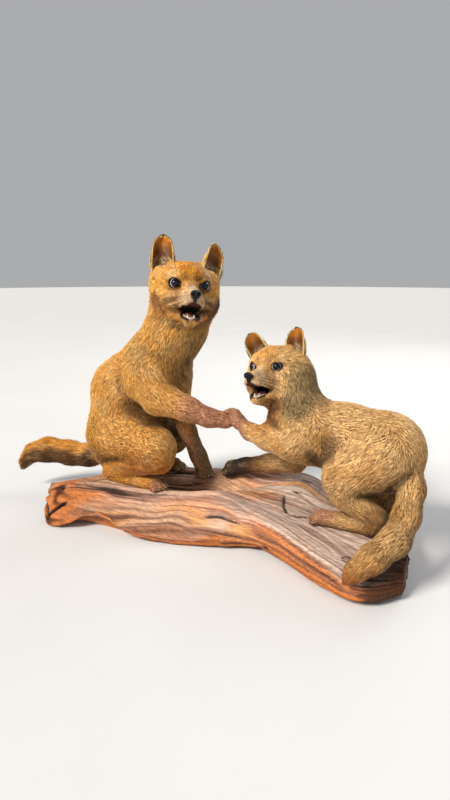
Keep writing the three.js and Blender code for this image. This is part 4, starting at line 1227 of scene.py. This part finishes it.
def ear_surface(t, share, wall, length):
    """A point of an ear: t from root to tip, share across it, wall 0 outside to 1 inside."""
    width = EAR_HALF_WIDTH * (0.9 + 0.5 * t * (1 - t)) * np.sqrt(1 - 0.86 * t**8)
    width = width * (1 + 0.16 * (1 - t) ** 3 - 0.06 * t**2)
    wrap = np.radians(lerp(104, 62, t))
    angle = lerp(wrap, -wrap, share)
    from_middle = 2 * share - 1
    thick = EAR_THICKNESS * (1 - 0.55 * from_middle**4) * lerp(1.0, 0.5, t)
    radius = width / np.sin(np.minimum(wrap, math.pi / 2)) - wall * thick
    crumple = 1.4 * np.sin(share * 9 + t * 4) * (1 - from_middle**2) * t
    x = width * 0.9 - (radius + crumple) * np.cos(angle) - 6 - 10 * t
    nick = 2.6 * np.exp(-(((share - 0.7) / 0.06) ** 2)) + 1.2 * np.exp(-(((share - 0.36) / 0.05) ** 2))
    z = length * (t - 0.06 * t**3 * from_middle**2) - nick * t**8
    return np.stack([x, radius * np.sin(angle), z], -1)


def ear_tufts(count, wall, low, high, long, rise, width, where, length):
    """Tufts of one kind, in the ear's own place: root, middle, tip, up, width, colour and map place."""
    spot, share = RANDOM.random(count), RANDOM.random(count)
    t = np.clip(lerp(low, high, spot**1.4 if where == "sides" else spot), 0, 0.995)
    band = EAR_BANDS[where]
    share = np.clip(np.where(share > 0.5, 1 - band * (2 * share - 1), band * 2 * share), 0.0, 0.998)
    step = 1e-3
    at = ear_surface(t, share, wall, length)
    up = unit(ear_surface(t + step, share, wall, length) - at)
    over = unit(ear_surface(t, share + step, wall, length) - at)
    normal = unit(np.cross(up, over))
    outward = ((at - (6, 0, 0)) * (1, 1, 0) * normal).sum(1, keepdims=True)
    normal = normal * np.where(outward < 0, -1, 1) * (1 if wall == 0 else -1)
    way = unit(up + over * RANDOM.normal(0, 0.2, count)[:, None])
    if where == "sides":
        inward = np.where(share > 0.5, -1, 1) * (0.5 + 0.5 * RANDOM.random(count))
        way = unit(up * 0.8 + over * inward[:, None])
    long = long * np.exp(RANDOM.normal(0, 0.3, count))
    reach = way * np.minimum(long, (1.05 - t) * 60)[:, None]
    paint = Paint({"rim": EAR_PALE, "sides": GREY}.get(where, EAR_GOLD if wall else TAN), count)
    if where == "sides":
        paint(CREAM, RANDOM.random(count))
    elif where == "all" and wall:
        # painted shade on the inside tufts towards the ear's root
        paint(EAR_DARK, smooth(0.9, 0.5, t))
    elif where == "all":
        edge = np.maximum(np.abs(2 * share - 1), t * 1.002)
        paint(UMBER, smooth(0.35, 0.7, t) * smooth(0.9, 0.65, edge))
        paint(EAR_PALE, smooth(0.88, 0.98, edge))
    tone = paint.tone * np.exp(RANDOM.normal(0, 0.15, count))[:, None]
    uv = np.stack([0.01 + 0.48 * share + 0.5 * wall, 0.01 + 0.98 * t], 1)
    middle, tip = at + reach * 0.45 + normal * rise * 0.75, at + reach + normal * rise
    return at - normal * 0.3, middle, tip, normal, np.full(count, width), tone, uv


def make_ear(cub, side, length, tilt, turn, root_y, *nodes):
    """An ear, with short hair up its back, long hair at its root and across its mouth, and a pale rim."""
    rows, columns, wide = EAR_ROWS, EAR_COLUMNS, 2 * EAR_COLUMNS
    t, share = np.meshgrid(np.linspace(0, 1, rows), np.linspace(0, 1, columns), indexing="ij")
    walls = [ear_surface(t, share, 0.0, length), ear_surface(t, share, 1.0, length)[:, ::-1]]
    place = rotation(2, side * turn) @ rotation(0, -side * tilt)

    def put(q):
        return cub.head.world(q @ place.T + (-13, side * root_y, 26))

    points = put(np.concatenate(walls, 1).reshape(-1, 3))
    k = np.arange(columns - 1)
    cap = np.stack([k, k + 1, wide - 2 - k, wide - 1 - k], 1)
    faces = np.concatenate([ring_quads(rows, wide)[:, ::-1], cap, (cap + (rows - 1) * wide)[:, ::-1]])
    inside = np.tile(np.repeat([0.0, 1.0], columns), rows)
    edge = np.abs(2 * np.concatenate([share, share[:, ::-1]], 1).ravel() - 1)
    high = np.concatenate([t, t], 1).ravel()
    paint = Paint(np.where(inside[:, None] > 0.5, EAR_GOLD, TAN * 0.9))
    # painted shade deep in the ear's cup, away from its rims and tip
    paint(EAR_DARK, 0.9 * inside * smooth(0.9, 0.55, high) * smooth(1.0, 0.6, edge))
    paint(EAR_DARK, 0.5 * inside * smooth(0.1, 0.7, noise(points, 7, 41)))
    paint(UMBER, (1 - inside) * smooth(0.3, 0.7, high))
    paint(EAR_PALE, 0.9 * smooth(0.93, 0.99, np.maximum(edge, high * 1.005)))
    name = f"{cub.name}_ear_" + ("left" if side > 0 else "right")
    piece(name, new_mesh(name, points, faces, paint.tone), EAR_SKIN, "coat", *nodes)
    sets = [ear_tufts(*kind, length) for kind in EAR_TUFTS]
    root, middle, tip, up, width, tone, uv = (np.concatenate(column) for column in zip(*sets))
    root, middle, tip = put(root), put(middle), put(tip)
    up = unit(put(up) - put(0 * up))
    across = unit(np.cross(up, tip - middle))
    tuft_piece(name + "_coat", root, middle, tip, across, up, width * cub.head.scale, tone, uv)


for ear, node in zip(SITTING_EARS, ("fox_ear_left", "fox_ear_right")):
    make_ear(SITTING, *ear, node)
for ear in CROUCHING_EARS:
    make_ear(CROUCHING, *ear)


# ---------------- mouths, claws and whiskers
def tube(path, radii, sides=10):
    """Points, quads and end caps of a round tube along a path."""
    way = unit(np.gradient(path, axis=0))
    side = unit(np.cross(way, [0.13, 0.21, 0.97]))
    up = np.cross(way, side)
    angle = np.linspace(0, 2 * math.pi, sides, endpoint=False)[None, :, None]
    ring = side[:, None] * np.cos(angle) + up[:, None] * np.sin(angle)
    points = (path[:, None] + ring * radii[:, None, None]).reshape(-1, 3)
    k = np.arange(sides)
    return points, ring_quads(len(path), sides)[:, [0, 3, 2, 1]], np.array([k[::-1], k + len(points) - sides])


def joined(tubes):
    """Several tubes as one set of points, quads and end caps."""
    points, quads, caps, base = [], [], [], 0
    for p, q, c in tubes:
        points.append(p)
        quads.append(q + base)
        caps.append(c + base)
        base += len(p)
    return np.concatenate(points), [np.concatenate(quads), np.concatenate(caps)]


def tapered(start, way, bend, length, radius, steps=7, sides=8):
    """A claw, tooth or whisker: a bent spike."""
    s = np.linspace(0, 1, steps)
    path = start + np.outer(s * length, way) + np.outer(s**2 * length, bend)
    return tube(path, radius * (1 - s**1.6) + 0.06 * radius, sides)


def jaw_place(a):
    """A place along the lower jaw's gum, by the angle round it."""
    return np.array([25 + 22 * math.cos(a), 8.5 * math.sin(a), -39.5 - 7.5 * math.cos(a)])


def tongue_field(q):
    body = Rod("", (27, 0, -37.5), (41, 0, -43.5), 5.2, 4.4, flat=1.3).distance(q)
    return soft_cut(body, Rod("", (26, 0, -32), (46, 0, -39.2), 0.6, 0.6).distance(q), 1.5)


def make_mouth(cub, *nodes):
    """The lower gum, its teeth and a tongue with a groove."""
    steps = np.linspace(-1.3, 1.3, 30)
    arc = np.array([jaw_place(a) for a in steps])
    gum = joined([tube(arc, 2.2 * (1 - 0.6 * np.abs(steps / 1.3) ** 6), 12)])
    teeth = []
    for n, a in enumerate(np.linspace(-1.2, 1.2, 15)):
        # a canine, an incisor between the canines, or a tooth behind them: its height and radius
        high, size = (8.0, 1.5) if n in (4, 10) else (4.6, 0.95) if 4 < n < 10 else (5.2, 1.25)
        way = (0.05, 0.06 * math.sin(a), 1)
        teeth.append(tapered(jaw_place(a) + (0, 0, 0.6), way, (-0.12, 0, 0), high, size))
    head_piece(cub, "lower_gum", *gum, GUM, "teeth", *nodes[:1])
    head_piece(cub, "lower_teeth", *joined(teeth), TOOTH, "teeth")
    lines = [np.arange(20, 50, 0.8), np.arange(-9, 9, 0.8), np.arange(-52, -32, 0.8)]
    head_piece(cub, "tongue", *surface(tongue_field, lines), TONGUE, "tongue", *nodes[1:])


def make_claws(cub, name, centre, heading, radius, spread):
    way = np.array([math.cos(heading), math.sin(heading), 0])
    claws = []
    for place in toe_places(centre, heading, spread):
        start = way * radius + place + (0, 0, 0.1 * radius)
        claws.append(tapered(start, unit(way + (0, 0, 0.1)), (0, 0, -0.6), 6.4, 1.2))
    label = f"{cub.name}_claws_{name}"
    piece(label, new_mesh(label, *joined(claws)), CLAW, "nose_skin")


def make_whiskers(cub):
    hairs = []
    for side in (1, -1):
        for row in range(3):
            for n in range(4):
                start = (60 - 5 * n, side * (10.5 + 1.1 * n), -16 - 3.2 * row - 0.6 * n)
                way = unit(np.array([-0.35 - 0.1 * n, side, 0.12 - 0.18 * row]))
                length = 20 + 3 * n + 4 * RANDOM.random()
                hairs.append(tapered(start, way, (-0.25, 0, -0.12), length, 0.2, 9, 4))
    head_piece(cub, "whiskers", *joined(hairs), HAIR, "coat")


make_mouth(SITTING, "fox_lower_teeth", "fox_tongue")
make_mouth(CROUCHING)
for cub, toe_sets in (
    (SITTING, (HIND_TOES, FAR_HIND_TOES, RAISED_TOES, STANDING_TOES)),
    (CROUCHING, (FAR_CROUCHED_TOES, CROUCHED_TOES, REACHING_TOES, LYING_TOES)),
):
    for name, toe_set in zip(("hind_right", "hind_left", "fore_right", "fore_left"), toe_sets):
        make_claws(cub, name, *toe_set)
make_whiskers(SITTING)
make_whiskers(CROUCHING)

# ---------------- the driftwood
WOOD_STATIONS = 26
WOOD_ACROSS, WOOD_REFINE = 260, 8
WOOD_ROW = 25  # control points round a section
# x, then the y of the front foot, y and z of the crest over it, y of the rear edge and its height,
# then the y, half width and depth of the hollow along the top
WOOD_OUTLINE = np.array([
    [-284, -128, -112, 44, -84, 36, -60, 30, 0],
    [-266, -150, -118, 56, -40, 44, -40, 30, 0],
    [-236, -156, -98, 60, 26, 46, -20, 30, 0],
    [-200, -149, -76, 58, 70, 49, -10, 30, 4],
    [-144, -149, -66, 58, 80, 52, -12, 26, 20],
    [-99, -143, -44, 58, 86, 55, -2, 22, 28],
    [-54, -129, -24, 58, 90, 60, 16, 18, 28],
    [0, -107, -46, 56, 98, 68, 52, 12, 26],
    [49, -78, -66, 55, 106, 76, 70, 12, 24],
    [80, -86, -79, 54, 108, 70, 84, 11, 10],
    [109, -98, -93, 51, 104, 55, 90, 12, 0],
    [163, -124, -120, 43, 92, 51, 80, 12, 0],
    [210, -138, -134, 32, 70, 50, 60, 12, 0],
    [246, -118, -114, 30, 10, 46, -10, 12, 0],
    [258, -98, -92, 26, -50, 38, -60, 12, 0],
], float)
KNOT = (193, -102)  # where a branch once left the front of the top
KNOT_RADIUS = 5
# x along the log, and how high its front is hollowed underneath there
ARCH = np.array([
    [-262, 2], [-237, 4], [-219, 11], [-204, 22], [-181, 31], [-156, 27], [-128, 13], [-100, 8], [-60, 6],
    [0, 4], [20, 0],
], float)
# x, and the height of the broken edge along the front's foot
EDGE = np.array([[-140, 14], [-128, 16], [-80, 20], [-40, 21], [0, 22], [12, 18]], float)
# cracks where the log forks and across its top, each point with its half width
CRACKS = [
    [[-264, -118, 28, 1.2], [-254, -113, 44, 1.6], [-251, -110, 53, 1.6], [-266, -82, 50, 1.0]],
    [[-264, -144, 10, 1.5], [-250, -134, 24, 2.0], [-241, -126, 33, 1.8], [-222, -115, 50, 1.4],
     [-210, -105, 58, 1.2], [-189, -99, 59, 0.8], [-150, -106, 59, 0.5]],
    [[-222, -146, 20, 1.0], [-206, -142, 31, 2.2], [-184, -138, 38, 2.2], [-166, -134, 42, 1.6],
     [-162, -126, 50, 1.2], [-174, -120, 53, 0.8]],
    [[50, 32, 54, 0.8], [61, 14, 54, 1.2], [72, -12, 54, 0.8], [84, -30, 53, 1.0]],
    [[91, -35, 53, 0.8], [106, -33, 53, 2.4], [122, -30, 52, 2.6]],
]


def hermite(a, b, slope_a, slope_b, t):
    return (
        (2 * t**3 - 3 * t**2 + 1) * a + (t**3 - 2 * t**2 + t) * slope_a
        + (3 * t**2 - 2 * t**3) * b + (t**3 - t**2) * slope_b
    )


def wood_at(x):
    """A row of the outline at x, on a smooth curve through the stations."""
    rows = WOOD_OUTLINE
    last = len(rows) - 2
    i = int(np.clip(np.searchsorted(rows[:, 0], x) - 1, 0, last))
    before, a, b, after = (rows[int(np.clip(n, 0, last + 1))] for n in (i - 1, i, i + 1, i + 2))
    t = float(np.clip((x - a[0]) / (b[0] - a[0]), 0, 1))
    slope_a = (b - before) / (b[0] - before[0]) * (b[0] - a[0])
    slope_b = (after - a) / (after[0] - a[0]) * (b[0] - a[0])
    return hermite(a, b, slope_a, slope_b, t)


def wood_section(x):
    """The same section as the solid's: up the front, over the top, down the rear, back underneath."""
    _, foot_y, crest_y, crest_z, rear_y, rear_z, hollow_y, half_width, depth = wood_at(x)
    lift = 2 + 2 * math.sin(x / 31)
    ends = 10 * (1 - smooth(-284, -262, x)) + 6 * smooth(244, 254, x)
    level = 53 - 4 * smooth(215, 250, x)

    def top(t, y):
        across = np.clip((y - crest_y) / (rear_y - crest_y), 0, 1)
        rise = lerp(crest_z, level, smooth(0, 0.35, across))
        dip = depth * np.exp(-(((y - hollow_y) / half_width) ** 2))
        return lerp(rise, rear_z, smooth(0.45, 0.8, across)) - dip

    runs = (
        (3, foot_y, crest_y, lambda t, y: lerp(lift + ends, crest_z, t)),
        (13, crest_y, rear_y, top),
        (2, rear_y, rear_y - 8, lambda t, y: lerp(rear_z, 10 + ends, t)),
        (7, rear_y - 8, foot_y, lambda t, y: ends + lift * smooth(0.8, 1, t) + 5 * (1 - smooth(0, 0.13, t))),
    )
    ring = []
    for count, start, end, height in runs:
        for i in range(count):
            y = lerp(start, end, i / count)
            ring.append([y, height(i / count, y)])
    ring = np.array(ring)
    for _ in range(2):
        eased = ring / 2 + (np.roll(ring, 1, 0) + np.roll(ring, -1, 0)) / 4
        eased[:, 1] = np.where(ring[:, 1] < 0.01, ring[:, 1], eased[:, 1])
        ring = eased
    return ring


def finer(values, closed):
    """Rows of values on a smooth curve through them, WOOD_REFINE times as many."""
    n = len(values)
    i = np.arange(n if closed else n - 1)
    before, a, b, after = (values[(i + k) % n if closed else np.clip(i + k, 0, n - 1)] for k in (-1, 0, 1, 2))
    slopes = (b - before) / 2, (after - a) / 2
    steps = np.arange(WOOD_REFINE) / WOOD_REFINE
    rows = np.stack([hermite(a, b, *slopes, t) for t in steps], 1).reshape(-1, *values.shape[1:])
    return rows if closed else np.concatenate([rows, values[-1:]])


def resampled(ring):
    """A closed ring at an even spacing, wider underneath, and each point's place among the first ring's."""
    closed = np.concatenate([ring, ring[:1]])
    step = np.linalg.norm(np.diff(closed, axis=0), axis=1)
    under = (closed[:-1, 1] < 9) & (closed[1:, 1] < 9)
    walked = np.concatenate([[0], np.cumsum(step * np.where(under, 0.4, 1.0))])
    marks = np.linspace(0, walked[-1], WOOD_ACROSS, endpoint=False)
    columns = (closed[:, 0], closed[:, 1], np.arange(len(closed)) / WOOD_REFINE)
    return np.stack([np.interp(marks, walked, column) for column in columns], 1)


def gap(value, width):
    """One where a value passes through nought, falling to nought at width from it."""
    return smooth(width, 0.25 * width, np.abs(value))


def wood_grain(p, place, normal):
    """How far the weathered surface stands out, and its colour, by the place along and round the log."""
    x, y, z = p.T
    flat = np.stack([x, place * 17, 0 * x], 1)
    warp = flat.copy()
    warp[:, 1] += 9 * layered(flat, (95, 45, 9), 51) + 3 * noise(flat, (34, 14, 9), 52)
    from_knot = np.hypot(x - KNOT[0], y - KNOT[1])
    warp[:, 1] += 6 * np.exp(-((from_knot / 22) ** 2)) * np.sign(y - KNOT[1])
    broad = layered(warp, (190, 20, 9), 57)
    ridge = layered(warp, (150, 4.2, 9), 53)
    fine = noise(warp, (70, 2.2, 9), 59)
    crack = gap(noise(warp, (150, 11, 9), 54), 0.12) * smooth(0.0, 0.4, noise(flat, (60, 30, 9), 60))
    tops = smooth(0.45, 0.85, normal[:, 2])
    left = smooth(-215, -262, x)
    front = smooth(-0.1, -0.4, normal[:, 1])
    above = z - np.interp(x, *EDGE.T)
    along_edge = zone(p, x=(-144, -132, 12, 2)) * front
    lip = along_edge * smooth(7, 1, above) * smooth(-1, 0, above)
    under = along_edge * smooth(0.5, -2, above)
    cracked = np.min([near_line(p, line) for line in CRACKS], axis=0)
    lobes = gap(noise(p, (40, 26, 22), 61), 0.16) * left
    height = 1.3 * ridge + 0.45 * fine - 2.6 * crack + 2.0 * layered(p, 42, 55) + 1.3 * broad - 1.0
    height += 2.0 * lip - 6.5 * under - 3.0 * lobes - 4.5 * smooth(1.2, -0.6, cracked)
    paint = Paint(WOOD_TAN, len(p))
    paint(WOOD_PINK, smooth(-0.3, 0.4, layered(warp, (140, 26, 9), 56)))
    orange = np.maximum(smooth(30, 10, z) * (1 - tops), left + smooth(225, 255, x))
    paint(WOOD_ORANGE, 0.75 * orange + 0.4 * smooth(0.1, 0.6, broad))
    # painted highlight on the lip above the broken edge
    paint(WOOD_ORANGE * 1.3, 0.7 * lip)
    # painted shade in the undercut below the lip
    paint(WOOD_ORANGE * 0.75, 0.8 * under)
    paint(WOOD_ORANGE, 0.8 * front * (1 - tops) * np.maximum(smooth(20, 80, x), 0.6 * smooth(-60, -170, x)))
    patches = layered(warp, (80, 22, 9), 58) + 0.35 * smooth(30, 110, x)
    # the tops greyer in patches, more so to the right
    greyer_top = tops * smooth(-0.5, 0.1, patches) * (1 - 0.5 * smooth(40, -60, x))
    paint(WOOD_GREY, 0.85 * greyer_top)
    paint(WOOD_PURPLE * 0.85, 0.95 * smooth(0.05, -0.35, ridge) * (1 - 0.45 * greyer_top))
    paint(WOOD_ORANGE, 0.55 * smooth(0.1, 0.5, layered(warp, (120, 9, 9), 66)) * (1 - greyer_top))
    paint(WOOD_PURPLE * 0.8, 0.6 * smooth(0.1, -0.6, fine))
    shaded = front * zone(p, x=(-60, -150), z=(54, 30))
    paint.tone *= (1 - 0.3 * shaded * smooth(-0.3, 0.4, layered(warp, (60, 12, 9), 67)))[:, None]
    paint(WOOD_ORANGE * 1.1, 0.6 * smooth(26, 8, cracked) * smooth(-150, -200, x))
    paint(WOOD_DARK, 0.95 * crack + 0.95 * lobes + smooth(2.0, 0, cracked))
    # the foot of the right end rougher and darker
    dark_rough_end = smooth(214, 230, x + 6 * noise(p, 9, 62)) * smooth(60, 20, z + 6 * noise(p, 12, 63) + 0.35 * y)
    height += dark_rough_end * 2.5 * layered(p, 9, 64)
    paint(WOOD_DARK, 0.85 * dark_rough_end)
    on_top = tops * smooth(KNOT_RADIUS + 2, KNOT_RADIUS, from_knot)
    rings = gap(np.sin(from_knot * 2.4), 0.6)
    height += on_top * (1.2 - 0.8 * rings)
    paint(WOOD_PURPLE, on_top * (0.35 + 0.5 * rings))
    paint(WOOD_DARK, 0.9 * tops * gap(from_knot - KNOT_RADIUS, 1.4))
    return height, paint.tone


def make_wood():
    left, right = WOOD_OUTLINE[0, 0], WOOD_OUTLINE[-1, 0]
    xs = lerp(left, right, np.arange(WOOD_STATIONS + 1) / WOOD_STATIONS)
    rings = finer(np.stack([wood_section(x) for x in xs]), False)
    rows, wide = len(rings), WOOD_ACROSS
    ring = np.concatenate([resampled(finer(ring, True)) for ring in rings])
    x = np.repeat(lerp(left, right, np.arange(rows) / (rows - 1)), wide)
    p, place = np.stack([x, ring[:, 0], ring[:, 1]], 1), ring[:, 2]
    shaped = p.reshape(rows, wide, 3)
    over = np.roll(shaped, -1, 1) - np.roll(shaped, 1, 1)
    normal = unit(np.cross(np.gradient(shaped, axis=0), over)).reshape(-1, 3)
    height, tone = wood_grain(p, place, normal)
    p = p + normal * (height * smooth(1.5, 12, p[:, 2]))[:, None]
    p[:, 2] = np.maximum(p[:, 2], 0)
    arch = np.interp(p[:, 0], *ARCH.T) * smooth(-95, -128, p[:, 1])
    p = p + np.maximum(arch - p[:, 2], 0)[:, None] * (0, 0.6, 0.92)
    points = np.concatenate([p, [p[:wide].mean(0), p[-wide:].mean(0)]])
    tone = np.concatenate([tone, [WOOD_PURPLE, WOOD_PURPLE]])
    place = np.concatenate([place / WOOD_ROW, [0.5, 0.5]])
    uv = np.stack([(points[:, 0] - left) / (right - left), place], 1)
    mesh = new_mesh("driftwood", points, [ring_quads(rows, wide), end_fans(rows, wide)], tone, uv)
    piece("driftwood", mesh, WOOD, "driftwood", "driftwood_base")


make_wood()


# ---------------- floor, light and camera
FLOOR_RADIUS, FLOOR_SIDES = 9000, 96
MIDDLE = np.array([-0.05, 0, 0.2])  # what the lights are turned to
CAMERA_PLACE = (0.3832, -0.748, 0.390)
CAMERA_HEADING = np.array([-0.483, 0.875])
CAMERA_PITCH = math.radians(13)
CAMERA_LENS, CAMERA_FILM = 27, 36  # mm, the film's along the picture's height


def make_floor():
    angle = np.linspace(0, 2 * math.pi, FLOOR_SIDES, endpoint=False)
    points = np.stack([np.cos(angle), np.sin(angle), 0 * angle], 1) * FLOOR_RADIUS
    mesh = new_mesh("floor", points, np.arange(FLOOR_SIDES)[None])
    mesh.materials.append(FLOOR)
    shown("floor", mesh)


def add_light(name, kind, place, power, tint, **more):
    data = bpy.data.lights.new(name, kind)
    data.energy, data.color = power, tint
    for key, value in more.items():
        setattr(data, key, value)
    lamp = shown(name, data)
    lamp.location = place
    x, y, z = unit(MIDDLE - place)
    lamp.rotation_euler = (math.acos(-z), 0, math.atan2(-x, y))


def light_scene():
    add_light("key", "SUN", (-0.52, -1.25, 1.25), 4.3, (1.0, 0.95, 0.87), angle=0.3)
    add_light("fill", "AREA", (1.4, -1.1, 0.9), 3, (0.96, 0.98, 1.0), size=1.6)
    add_light("rim", "AREA", (0.3, 1.5, 1.4), 12, (1, 1, 1), size=1.2)
    world = bpy.data.worlds.new("studio")
    bpy.context.scene.world = world
    world.use_nodes = True
    background = world.node_tree.nodes["Background"]
    background.inputs["Color"].default_value = (0.97, 0.98, 1.0, 1)
    background.inputs["Strength"].default_value = 0.42
    bpy.context.scene.view_settings.view_transform = "Standard"


def make_camera():
    data = bpy.data.cameras.new("camera")
    data.lens, data.sensor_width, data.clip_start = CAMERA_LENS, CAMERA_FILM, 0.01
    made = shown("camera", data)
    made.location = CAMERA_PLACE
    x, y = unit(CAMERA_HEADING)
    made.rotation_euler = (math.pi / 2 - CAMERA_PITCH, 0, math.atan2(-x, y))
    bpy.context.scene.camera = made


make_floor()
light_scene()
make_camera()
